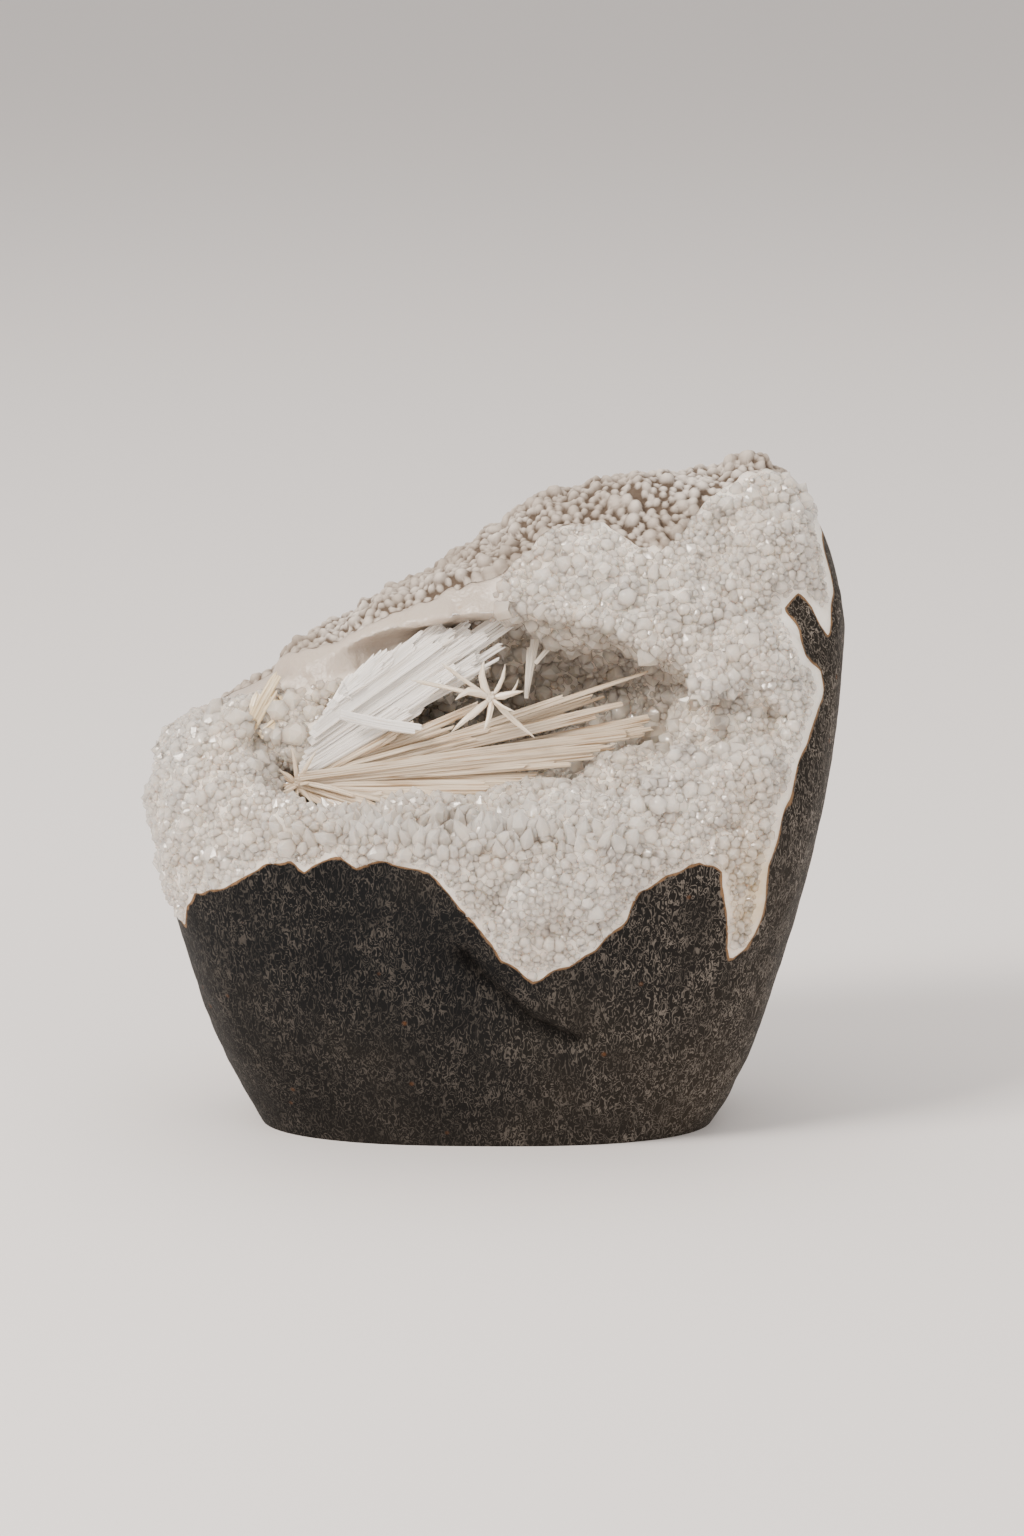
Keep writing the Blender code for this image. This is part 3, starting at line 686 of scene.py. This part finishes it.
def basalt_piece(mesh):
    """The ground stone, with its slanting groove and the facet beside it; the groove is painted dark, a
    crack along its bed and painted shade on its banks.
    """
    co = points_of(mesh)
    p = co / MM
    groove = np.abs(line_distance(p[:, [0, 2]], GROOVE))
    (x, z), (wide, tall), deep = FACET
    push = -deep * np.exp(-(((p[:, 0] - x) / wide) ** 2) - (((p[:, 2] - z) / tall) ** 2))
    for depth, width in (GROOVE_BED, GROOVE_BANKS):
        push -= depth * bell(groove, width)
    ragged = groove * (1 + wander(p, *CRACK_BEND))
    ragged += CRACK_WIDTH * clamp(wander(p, *CRACK_BREAK))
    shade, reach = BANK_SHADE
    # dark along the crack, and painted shade over the groove's banks
    dark = (bell(ragged, CRACK_WIDTH) + shade * bell(groove, reach)) * (p[:, 1] < 0)
    paint(mesh, "groove", clamp(dark))
    push = push * clamp(-p[:, 1] / FRONT_FADE)
    for waves in BASALT_WAVES:
        push += wander(p, *waves)
    foot = clamp(p[:, 2] / BASE_FADE)
    held = clamp(-numbers_of(mesh, "above_basalt") / SEAM_FADE)
    set_points(mesh, co + normals_of(mesh) * (push * foot * held)[:, None] * MM)
    return add_piece("ground_basalt", mesh, "basalt_matrix", basalt_look())


# Rind

KNOB_TRIES = 26000
KNOB_RADII = (0.7, 1.7)
KNOB_PACKING = 0.72  # least spacing of two knobs, in the sum of their radii
KNOB_SWELL = 1.08
KNOB_SINK = 0.5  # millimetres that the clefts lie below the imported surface
KNOBS_NEAR = 5  # how many knobs are looked at for a point
RIND_LUMPS = (9, 9, 1.3)  # width, seed and height
RIND_GRAIN = (1.6, 12, 0.28)
RIND_SEAM = (1.5, 0.1)  # millimetres from the edge to the full height, and the share kept at the edge
CLEFT_SHADE = (1.15, 0.85)  # the painted shade at the bottom of the clefts, and how high up a knob a unit of it clears


def packed(p, radius, packing):
    """Which of the places keep their distance from all the earlier ones that were kept."""
    cell = 2 * packing * radius.max()
    grid = {}
    kept = []
    steps = [(a, b, c) for a in (-1, 0, 1) for b in (-1, 0, 1) for c in (-1, 0, 1)]
    keys = np.floor(p / cell).astype(int).tolist()
    places = p.tolist()
    sizes = radius.tolist()
    for i, (key, at, size) in enumerate(zip(keys, places, sizes)):
        if size <= 0:
            continue
        free = True
        for a, b, c in steps:
            for j in grid.get((key[0] + a, key[1] + b, key[2] + c), ()):
                other = places[j]
                gap = (at[0] - other[0]) ** 2 + (at[1] - other[1]) ** 2 + (at[2] - other[2]) ** 2
                if gap < (packing * (size + sizes[j])) ** 2:
                    free = False
                    break
            if not free:
                break
        if free:
            grid.setdefault(tuple(key), []).append(i)
            kept.append(i)
    return np.array(kept)


def domes(co, at, radii, near):
    """How high round domes stand over each point, in metres and in the dome's radius."""
    tree = KDTree(len(at))
    for i, p in enumerate(at):
        tree.insert(p, i)
    tree.balance()
    height = np.zeros(len(co))
    share = np.zeros(len(co))
    for i, p in enumerate(co):
        for _, k, distance in tree.find_n(p, near):
            part = distance / radii[k]
            if part < 1:
                rise = math.sqrt(1 - part * part)
                if radii[k] * rise > height[i]:  # the highest dome shows
                    height[i] = radii[k] * rise
                    share[i] = rise
    return height, share


def surface_samples(mesh, count, seed):
    """Points spread over a mesh by area, with their normals."""
    mesh.calc_loop_triangles()
    n = len(mesh.loop_triangles)
    corner = np.empty(n * 3, int)
    mesh.loop_triangles.foreach_get("vertices", corner)
    co = points_of(mesh)[corner.reshape(-1, 3)]
    no = normals_of(mesh)[corner.reshape(-1, 3)]
    area = np.linalg.norm(np.cross(co[:, 1] - co[:, 0], co[:, 2] - co[:, 0]), axis=1)
    r = np.random.default_rng(seed)
    pick = r.choice(n, count, p=area / area.sum())
    s, t = r.random(count), r.random(count)
    over = s + t > 1
    s[over], t[over] = 1 - s[over], 1 - t[over]
    weights = np.stack((1 - s - t, s, t), axis=1)[:, :, None]
    at = (co[pick] * weights).sum(1)
    normal = (no[pick] * weights).sum(1)
    return at, unit(normal)


def rind_piece(mesh):
    """The rind: knobs side by side, each a round cap, with clefts between."""
    finer = {"levels": 1, "render_levels": 1, "subdivision_type": "SIMPLE"}
    mesh = evaluated(mesh, ("SUBSURF", finer))
    r = np.random.default_rng(SEED + 2)
    at, _ = surface_samples(mesh, KNOB_TRIES, SEED + 1)
    small, large = KNOB_RADII
    radii = small + (large - small) * r.random(KNOB_TRIES) ** 2
    kept = packed(at / MM, radii, KNOB_PACKING)
    co = points_of(mesh)
    p = co / MM
    height, share = domes(co, at[kept], radii[kept] * MM * KNOB_SWELL, KNOBS_NEAR)
    edge = np.minimum(numbers_of(mesh, "behind_rind"), numbers_of(mesh, "above_basalt"))
    seam, least = RIND_SEAM
    held = np.clip(edge / seam, least, 1)
    lift = (height + (wander(p, *RIND_LUMPS) - KNOB_SINK + wander(p, *RIND_GRAIN)) * MM) * held
    most, clear = CLEFT_SHADE
    # painted shade: darkest at the bottoms of the clefts, gone towards the knobs' tops
    paint(mesh, "cleft_shade", clamp(most - share / clear))
    set_points(mesh, co + normals_of(mesh) * lift[:, None])
    return add_piece("nodular_rind_knobs", mesh, "nodular_rind", rind_look())


# Druse

LUMP_TRIES = 900
LUMP_RADII = (2.5, 6.5)
LUMP_PACKING = 0.62
LUMPS_NEAR = 4
LUMP_RISE = 0.36  # how far a lump stands out, in its height
LUMP_SINK = 0.8
LUMP_WAVES = (5, 31, 0.3)
BARE_LUMPS = 0.3  # share of the lumps that the bare band does without
BARE_SINK = 0.6
SEAM_REACH = 5  # millimetres from the quartz's edge to its full lumps

CRYSTAL_TRIES = 60000
CRYSTAL_SIZE = (0.85, 3.0)  # radius in millimetres
CRYSTAL_SKEW = 1.8  # above 1, most crystals are small
COARSENESS = (0.35, 0.4, 0.35)  # everywhere, in coarse patches, and deep in the hollow
COARSE_PATCHES = (13, 21, 0.5)
CREST_SIZE = (1.0, 2.1)
LEAN = 0.36
CREST_LEAN = (0, -0.1, 0.8)
PACKING = 0.5  # least spacing of two crystals, in the sum of their radii
SIDES = 6
BURIED = 1.4  # in a crystal's radius, how deep its foot is
BODY = (-0.4, 0.3)  # in its radius, where its sides end
POINT = (0.6, 1.0)  # in its radius, how long its point is
CREST_POINT = 1.3
FOOT_SHARE = 0.8
NECK_SHARE = 0.62  # width half way up the point
ROUGHED = (0.85, 1.12)
OFF_AXIS = 0.2
SMOOTH_SHARE = 0.2  # share of the crystals that are rounded
NEEDLE_ROOM = 0.8  # in a crystal's radius, how near it may grow to the upper sheaf
POLISHED = 0.7  # millimetres along the basalt where the quartz is ground smooth
POLISHED_RIGHT = (0.9, 38, 8)  # how much wider that is at the right, from which x on, over what reach
STAIN = ((48, 50), 7.5)  # middle as (x, z) and reach of the yellowish patch
STAIN_TALL = 1.6
BARE_FOOT = ((-58, -30, -15, 2), (74, 85, 91, 97))  # the bare band's lower edge, as x and z
BARE_DEPTH = 11  # millimetres from the rind's edge
BARE_FADES = (4, 2, 5, 6)  # millimetres in which it ends in front, below, at the right and at the left
HOLLOW_EDGE = (1.22, 0.22)  # in a hollow's radii, where it has ended, and over what part of them it fades
HOLLOW_FRONT = (-30, 16)  # y where the hollow begins, and the millimetres behind that to its full depth
CREST_LEFT = (-46, 6)  # where the crest begins and ends, as (x, millimetres to its full strength)
CREST_RIGHT = (28, 8)
CREST_HEIGHT = (62.5, 3)
CREST_FRONT = -18
CREST_LIMIT = 0.4  # above this, a crystal has a crest crystal's size
RIND_SIDE = 1.5  # how much sooner crystals grow large at the rind than at the basalt
LEAST_NEAR_EDGE = 0.6
GROWS_IN = 12  # millimetres in which crystals reach their full size


def in_hollow(p):
    """About 1 deep in the hollow and 0 on the stone's outer faces."""
    found = np.zeros(len(p))
    end, fade = HOLLOW_EDGE
    for centre, radii, _ in HOLLOWS:
        d = np.linalg.norm((p - np.array(centre)) / np.array(radii), axis=1)
        found = np.maximum(found, clamp((end - d) / fade))
    front, reach = HOLLOW_FRONT
    return found * clamp((p[:, 1] - front) / reach)


def smooth_wall(p):
    """About 1 on the bare glassy band between the upper sheaf and the rind."""
    xs, zs = BARE_FOOT
    front, below, right, left = BARE_FADES
    seam = clamp((BARE_DEPTH + behind_rind_line(p)) / front)
    seam = seam * clamp((p[:, 2] - np.interp(p[:, 0], xs, zs)) / below)
    return seam * clamp((xs[-1] - p[:, 0]) / right) * clamp((p[:, 0] - xs[0]) / left)


def crest(p):
    """About 1 on the front edge of the hollow, where the crystals are sharper."""
    left, rise = CREST_LEFT
    right, fall = CREST_RIGHT
    height, reach = CREST_HEIGHT
    across = clamp((p[:, 0] - left) / rise) * clamp((right - p[:, 0]) / fall)
    return across * bell(p[:, 2] - height, reach) * (p[:, 1] < CREST_FRONT)


def tint(mesh, p):
    """Numbers for the colours: how deep in the hollow a point lies, which sets its painted shade, how
    stained and how bare it is.
    """
    (x, z), reach = STAIN
    stain = bell(p[:, 0] - x, reach) * bell(p[:, 2] - z, STAIN_TALL * reach) * (p[:, 1] < 0)
    # how deep in the hollow, for its painted shade
    paint(mesh, "deep", in_hollow(p))
    paint(mesh, "stain", stain)
    paint(mesh, "bare", smooth_wall(p))


def crystal_sizes(p, r):
    """A crystal's radius in millimetres at each place, 0 where none grows."""
    room = np.minimum(above_basalt(p), -behind_rind_line(p) * RIND_SIDE)
    low, high = CRYSTAL_SIZE
    everywhere, in_patches, in_depth = COARSENESS
    patches = clamp(wander(p, *COARSE_PATCHES) + 0.4)
    coarse = everywhere + in_patches * patches + in_depth * in_hollow(p)
    radius = low + (high - low) * r.random(len(p)) ** CRYSTAL_SKEW * coarse
    radius *= np.clip(LEAST_NEAR_EDGE + room / GROWS_IN, LEAST_NEAR_EDGE, 1)
    radius = np.where(crest(p) > CREST_LIMIT, r.uniform(*CREST_SIZE, len(p)), radius)
    extra, start, reach = POLISHED_RIGHT
    polished = room < POLISHED + extra * clamp((p[:, 0] - start) / reach)
    radius[(smooth_wall(p) > 0.5) | polished] = 0
    return radius


def crystal_spots(mesh, sheaf):
    """Where crystals grow: (place, direction, radius in metres), side by side and clear of the sheaf."""
    at, normal = surface_samples(mesh, CRYSTAL_TRIES, SEED + 3)
    p = at / MM
    r = np.random.default_rng(SEED + 4)
    radius = crystal_sizes(p, r)
    rooms = radius * NEEDLE_ROOM * MM
    kept = [k for k in packed(p, radius, PACKING) if sheaf.find_nearest(at[k], rooms[k])[0] is None]
    kept = np.array(kept)
    lean = normal[kept] + r.normal(scale=LEAN, size=(len(kept), 3))
    lean += np.array(CREST_LEAN) * crest(p)[kept, None]
    return at[kept], unit(lean), radius[kept] * MM


def crystals_mesh(name, at, along, radius, r):
    """Six-sided crystals with uneven points, all in one mesh."""
    n = len(at)
    helper = np.where(np.abs(along[:, 2:3]) < 0.9, [[0.0, 0.0, 1.0]], [[1.0, 0.0, 0.0]])
    side = unit(np.cross(along, helper))
    other = np.cross(along, side)
    turn = r.uniform(0, 2 * math.pi, n)
    body = radius * r.uniform(*BODY, n)
    point = radius * (r.uniform(*POINT, n) + CREST_POINT * crest(at / MM))
    levels = ((-BURIED * radius, FOOT_SHARE), (body, 1.0), (body + 0.5 * point, NECK_SHARE))
    rings = []
    for level, share in levels:
        for k in range(SIDES):
            a = turn + 2 * math.pi * k / SIDES
            wide = share * radius * r.uniform(*ROUGHED, n)
            spoke = side * (np.cos(a) * wide)[:, None] + other * (np.sin(a) * wide)[:, None]
            rings.append(at + along * level[:, None] + spoke)
    shift = r.normal(scale=OFF_AXIS, size=(2, n)) * radius
    tip = at + along * (body + point)[:, None]
    rings.append(tip + side * shift[0][:, None] + other * shift[1][:, None])
    verts = np.stack(rings, axis=1).reshape(-1, 3)
    faces = []
    for i in range(n):
        foot = i * (len(levels) * SIDES + 1)
        body_ring, neck, top = (foot + k * SIDES for k in range(1, len(levels) + 1))
        for k in range(SIDES):
            m = (k + 1) % SIDES
            for a, b in ((foot, body_ring), (body_ring, neck)):
                faces.append((a + k, a + m, b + m, b + k))
            faces.append((neck + k, neck + m, top))
    mesh = mesh_from(name, verts.tolist(), faces)
    tint(mesh, verts / MM)
    return mesh


def druse_pieces(mesh, sheaf):
    """The lumpy quartz ground, and the crystals that stand on it in two pieces."""
    r = np.random.default_rng(SEED + 5)
    at, _ = surface_samples(mesh, LUMP_TRIES, SEED + 6)
    radii = r.uniform(*LUMP_RADII, size=LUMP_TRIES)
    kept = packed(at / MM, radii, LUMP_PACKING)
    co = points_of(mesh)
    p = co / MM
    height, _ = domes(co, at[kept], radii[kept] * MM, LUMPS_NEAR)
    edge = np.minimum(above_basalt(p), -behind_rind_line(p)) - POLISHED
    bare = smooth_wall(p)
    lumps = height * LUMP_RISE / MM - LUMP_SINK + wander(p, *LUMP_WAVES)
    lift = (lumps * (1 - BARE_LUMPS * bare) - BARE_SINK * bare) * clamp(edge / SEAM_REACH)
    set_points(mesh, co + normals_of(mesh) * lift[:, None] * MM)
    tint(mesh, p)
    ground = quartz_look("druse_ground", rough=0.3, spotted=0.6, clear=0.0, grain=0.9)
    add_piece("druse_ground", mesh, "quartz_druse", ground)

    at, along, radius = crystal_spots(mesh, sheaf)
    look = quartz_look("druse_crystals", rough=0.1, spotted=0.3, clear=0.5, grain=0.12)
    half = len(at) // 2
    for name, part in (("druse_crystals_a", slice(0, half)), ("druse_crystals_b", slice(half, None))):
        made = crystals_mesh(name, at[part], along[part], radius[part], r)
        piece = add_piece(name, made, None, look)
        rounded = r.random(len(at[part])) < SMOOTH_SHARE - crest(at[part] / MM)
        piece.data.polygons.foreach_set("use_smooth", np.repeat(rounded, 3 * SIDES))


# Scolecite

TOWARDS_VIEWER = Vector((0.1, -0.75, 0.65))
FIBRE = 0.42  # spacing of a blade's fibres in millimetres
OVERLAP = 1.75  # a fibre's width, in its spacing
STEP_CHANCE = 0.35  # that a fibre ends at another length than the one beside it
BOW = 0.5  # millimetres, how far blades bend
RIDGE_ROUGH = 0.1
FIBRE_LENGTHS = (0.985, 1.0)
FIBRE_TIPS = (0.35, 0.9)
FIBRE_DEPTHS = (0.6, 1.0)
FIBRE_SLANTS = (-0.8, 0.8)
BLADE_TURN = 0.2
LANCET_TURN = 0.5
STREAK_RANGE = 60
LANCET_WIDTHS = (0.45, 1.0, 0.85, 0.45, 0.06)

ROOT = (-37.7, -16.5, 68.2)
UPPER_LAYERS = 3
UPPER_BLADES = 17
LAYER_GAP = 1.1
UPPER_FEET = [
    (-37.4, -16.5, 69.5), (-37.0, -16, 72.0), (-35.0, -15, 77.3), (-32.4, -13, 81.3), (-29.8, -12, 84.3),
]
# From the sheaf's lower edge to its upper edge.
UPPER_TIPS = [
    (-15.1, -11, 82), (-11.2, -9, 86), (-6.7, -7, 89.2), (-2.6, -5, 91.2), (1, -3, 92.1), (4.4, 0, 98.5),
    (-0.5, -1, 97.3), (-5.2, -2, 96.9), (-9.7, -3, 96.1), (-14.1, -4, 94.8), (-18, -6, 92.7),
    (-21.1, -7, 91.3), (-25.2, -9, 88.1), (-28.4, -11, 85),
]
# One blade lies across the sheaf, as (foot, tip).
ACROSS = ((-29.7, -16.5, 81.5), (-14.7, -15, 78.2))
# The lower sheaf's blades, as (tip, width at the tip).
LOWER_BLADES = [
    ((28.5, -2, 86.8), 1.1), ((20.8, -3, 83.5), 1.6), ((12.3, -5, 79.7), 2.2), ((24, -4, 81), 2.4),
    ((29.3, -5, 77.9), 5.0), ((24.5, -7, 76.2), 2.6), ((11.3, -8, 74.5), 3.2), ((19.6, -9, 72.8), 3.2),
    ((14.1, -11, 71.3), 2.8), ((7.5, -13, 69.2), 2.6), ((4.5, -15, 68.1), 2.2), ((-1.8, -17, 67.2), 2.4),
    ((-8.3, -19, 66.3), 2.4), ((-14.8, -20, 65.4), 2.2), ((-21.3, -22, 64.9), 2.0),
    ((-27.7, -23, 64.3), 1.6), ((-15.7, -12, 79), 1.6), ((-3.7, -8, 81.5), 2.0),
    ((-8.4, -9, 78.4), 2.4), ((2.5, -8, 77), 2.6),
]
ROOT_HAIRS = 16
STAR_CENTRE = (-1.6, -13, 83.9)
STAR_KNOBS = 9
STAR = [
    ((-2.9, -12, 90.9), 1.5), ((-10.9, -14, 90.8), 2.0), ((-16.5, -14, 87.5), 1.9),
    ((-9.1, -15, 77.7), 1.5), ((-2.9, -17, 78.6), 1.3), ((6.6, -15, 76.7), 1.3),
    ((4.5, -14, 85.4), 1.4), ((1.0, -9, 89.6), 1.0), ((2.9, -16, 81.9), 1.0),
    ((-8.3, -16, 84.1), 1.6), ((-5.5, -14, 79.9), 1.0), ((3.5, -10, 87.0), 0.9),
]
# Single needles, as (foot, tip, width).
UPRIGHT = [
    ((5, -1, 81.5), (7.4, 2, 97.3), 1.6), ((6.7, -1, 88.2), (12, -1, 94.8), 0.9),
    ((5, -1, 81.5), (5.6, 1, 91), 0.8),
]
BACK = [
    ((-47.5, -11, 76), (-41.2, -8, 87.3), 2.6), ((-36.4, -10, 77.6), (-43.6, -9, 84.4), 2.6),
    ((-45, -12, 76.5), (-39.3, -10, 80.6), 2.2), ((-47.2, -10, 78), (-45.2, -8, 84.2), 1.6),
]


class Needles:
    """Collects fibres and blades into one mesh, all in millimetres."""

    shares = (0.0, 0.3, 0.6, 0.86, 1.0)

    def __init__(self, seed):
        self.r = np.random.default_rng(seed)
        self.verts = []
        self.faces = []
        self.along = []
        self.streak = []

    def fibre(self, foot, tip, side, out, widths, thick, slant, bend, streak):
        """One six-sided fibre of five rings, cut slanting at its tip."""
        start = len(self.verts)
        axis = (tip - foot).normalized()
        length = (tip - foot).length
        for s, wide in zip(self.shares, widths):
            centre = foot + (tip - foot) * s + bend * math.sin(math.pi * s)
            deep = min(thick, wide)
            for k in range(SIDES):
                a = 2 * math.pi * k / SIDES
                lean = axis * (math.cos(a) * slant if s == 1.0 else 0.0)
                spoke = side * math.cos(a) * wide / 2 + out * math.sin(a) * deep / 2
                self.verts.append((centre + spoke + lean) * MM)
                self.along.append(s * length / 10)
                self.streak.append(streak + math.cos(a) * wide / 2)
        for level in range(len(self.shares) - 1):
            a = start + level * SIDES
            b = a + SIDES
            for k in range(SIDES):
                m = (k + 1) % SIDES
                self.faces.append((a + k, a + m, b + m, b + k))
        last = start + (len(self.shares) - 1) * SIDES
        self.faces.append(tuple(last + k for k in range(SIDES)))

    def faced(self, foot, tip, turn):
        """The ways along a blade's face and out of it: towards the viewer, but for a random turn."""
        axis = (tip - foot).normalized()
        side = axis.cross(TOWARDS_VIEWER).normalized()
        side = Matrix.Rotation(self.r.normal(scale=turn), 3, axis) @ side
        return side, side.cross(axis)

    def blade(self, foot, tip, width, foot_width, thick, ragged=0.16):
        """A flat blade of many fibres side by side, with a stepped end."""
        r = self.r
        foot, tip = Vector(foot), Vector(tip)
        side, out = self.faced(foot, tip, BLADE_TURN)
        count = max(2, int(width / FIBRE))
        end = 1.0
        streak = r.uniform(0, STREAK_RANGE)
        bow = out * r.normal(scale=BOW)
        for k in range(count):
            u = (k + 0.5) / count - 0.5
            if r.random() < STEP_CHANCE:
                end = 1.0 - ragged * r.random() ** 1.5
            ridge = out * (r.normal(scale=RIDGE_ROUGH) + (0.25 - u * u) * thick)
            a = foot + side * u * foot_width + ridge * 0.5
            b = foot + (tip - foot) * end * r.uniform(*FIBRE_LENGTHS) + side * u * width + ridge
            full = OVERLAP * width / count
            slim = OVERLAP * foot_width / count
            widths = [slim + (full - slim) * min(1.0, s * 1.15) for s in self.shares]
            widths[-1] *= r.uniform(*FIBRE_TIPS)
            deep = thick * r.uniform(*FIBRE_DEPTHS)
            slant = full * r.uniform(*FIBRE_SLANTS)
            self.fibre(a, b, side, out, widths, deep, slant, bow, streak + u * width)

    def lancet(self, foot, tip, width, thick, bend):
        """A flat pointed blade, widest before its middle."""
        r = self.r
        foot, tip = Vector(foot), Vector(tip)
        side, out = self.faced(foot, tip, LANCET_TURN)
        bow = side * r.normal(scale=bend) + out * r.normal(scale=bend * 0.6)
        widths = [width * w for w in LANCET_WIDTHS]
        self.fibre(foot, tip, side, out, widths, thick, 0.0, bow, r.uniform(0, STREAK_RANGE))

    def piece(self, name, look, replaced, slot):
        mesh = mesh_from(name, [tuple(v) for v in self.verts], self.faces)
        paint(mesh, "along", self.along)
        paint(mesh, "streak", self.streak)
        return add_piece(name, mesh, replaced, scolecite_look(look), smooth=False)


def between(points, v):
    """The point a share v of the way along a row of points."""
    t = v * (len(points) - 1)
    i = min(int(t), len(points) - 2)
    a, b = np.array(points[i], float), np.array(points[i + 1], float)
    return a + (b - a) * (t - i)


def upper_sheaf():
    """The broad white sheaf, in layers of blades. Returns its surface, which the crystals keep clear of."""
    needles = Needles(SEED + 9)
    r = needles.r
    for layer in range(UPPER_LAYERS):
        for k in range(UPPER_BLADES):
            v = min(max((k + r.uniform(-0.5, 0.5)) / (UPPER_BLADES - 1), 0), 1)
            foot = between(UPPER_FEET, v**1.3)
            tip = between(UPPER_TIPS, v)
            back = np.array(-TOWARDS_VIEWER) * (LAYER_GAP * layer)
            reach = r.uniform(0.78, 1.0) if layer == 0 else r.uniform(0.9, 1.03)
            tip = foot + (tip - foot) * reach
            needles.blade(foot + back, tip + back, r.uniform(2.2, 4.4), r.uniform(0.9, 1.8), 0.8)
    needles.blade(*ACROSS, 2.2, 1.8, 0.9)
    needles.piece("upper_sheaf", "scolecite_white", "scolecite_main_spray", "scolecite_main")
    return BVHTree.FromPolygons([tuple(v) for v in needles.verts], needles.faces)


def lower_sheaf():
    """The long cream blades, a shorter one beside each, and the hairs round their root."""
    needles = Needles(SEED + 10)
    r = needles.r
    for tip, width in LOWER_BLADES:
        foot = np.array(ROOT) + r.normal(scale=(0.5, 0.6, 0.7))
        into = np.array(-TOWARDS_VIEWER) * r.uniform(-0.6, 1.2)
        needles.blade(foot, np.array(tip) + into, 0.85 * width, min(width, 1.5), 1.2, ragged=0.10)
        near = np.array(tip) + r.normal(scale=(1.0, 1.2, 1.0))
        reach = r.uniform(0.5, 0.98)
        needles.blade(foot, foot + (near - foot) * reach, r.uniform(0.7, 1.3), 0.7, 0.7)
    for _ in range(ROOT_HAIRS):
        way = Vector(r.normal(size=3)) + Vector((-0.2, -0.6, 0.2))
        needles.lancet(ROOT, Vector(ROOT) + way.normalized() * r.uniform(3, 8), 0.9, 0.6, 0.2)
    needles.piece("lower_sheaf", "scolecite_cream", None, "scolecite_main")


def star():
    """The star's needles, and small knobs where they meet."""
    needles = Needles(SEED + 11)
    for tip, width in STAR:
        needles.lancet(STAR_CENTRE, tip, width, 0.8, 0.9)
    for _ in range(STAR_KNOBS):
        way = Vector(needles.r.normal(size=3)).normalized()
        middle = Vector(STAR_CENTRE)
        needles.lancet(middle - way, middle + way * 1.3, 1.7, 1.5, 0.0)
    needles.piece("star", "scolecite_star", "scolecite_star", "scolecite_star")


def single_needles():
    upright = Needles(SEED + 12)
    for foot, tip, width in UPRIGHT:
        upright.blade(foot, tip, width, 0.6, 0.5, ragged=0.2)
    upright.piece(
        "upright_needles", "scolecite_clear", "scolecite_upright_needles", "scolecite_upright"
    )
    back = Needles(SEED + 13)
    for foot, tip, width in BACK:
        back.blade(foot, tip, width, width * 0.8, 0.9, ragged=0.25)
    back.piece("back_cluster", "scolecite_yellow", "scolecite_back_cluster", "scolecite_back")


# Floor, light and camera

FLOOR_HALF = 30.0  # metres, so that its edge stays out of sight
FLOOR_COLOUR = (0.78, 0.755, 0.75, 1)
STUDIO_COLOUR = (1.0, 0.94, 0.89, 1)
STUDIO_STRENGTH = 0.85
WARM = (1.0, 0.94, 0.88)
# As (name, place, size in metres, power in watts, colour).
LAMPS = [
    ("key", (-0.75, -0.6, 0.95), 0.4, 24.0, (1.0, 0.92, 0.84)),
    ("fill", (0.9, -0.8, 0.5), 1.0, 6.0, WARM),
    ("top", (0.0, 0.5, 1.3), 1.5, 11.0, WARM),
]


def floor_and_light():
    h = FLOOR_HALF
    floor = mesh_from("floor", [(-h, -h, 0), (h, -h, 0), (h, h, 0), (-h, h, 0)], [(0, 1, 2, 3)])
    obj = put("floor", floor)
    look, _, shader = nodes_of("floor")
    set_inputs(shader, {"Base Color": FLOOR_COLOUR, "Roughness": 0.8})
    floor.materials.append(look)
    world = bpy.data.worlds.new("studio")
    bpy.context.scene.world = world
    world.use_nodes = True
    light = {"Color": STUDIO_COLOUR, "Strength": STUDIO_STRENGTH}
    set_inputs(world.node_tree.nodes["Background"], light)
    for name, place_at, size, power, colour in LAMPS:
        lamp = bpy.data.lights.new(name, "AREA")
        lamp.energy = power
        lamp.size = size
        lamp.color = colour
        obj = put(name, lamp)
        obj.location = place_at
        obj.rotation_mode = "QUATERNION"
        aim = AIM - Vector(place_at) if name != "top" else Vector((0, 0, -1))
        obj.rotation_quaternion = aim.to_track_quat("-Z", "Y")


def camera():
    cam = put("camera", bpy.data.cameras.new("camera"))
    ahead = Vector((0, math.cos(ELEVATION), -math.sin(ELEVATION)))
    cam.location = AIM - ahead * DISTANCE
    cam.rotation_mode = "QUATERNION"
    cam.rotation_quaternion = ahead.to_track_quat("-Z", "Y")
    cam.data.sensor_width = SENSOR
    cam.data.lens = cam.data.sensor_width / FRAME_HEIGHT * DISTANCE
    bpy.context.scene.camera = cam


def main():
    parts = skins()
    basalt_piece(parts["basalt"])
    rind_piece(parts["rind"])
    sheaf = upper_sheaf()
    lower_sheaf()
    star()
    single_needles()
    druse_pieces(parts["druse"], sheaf)
    floor_and_light()
    camera()


main()
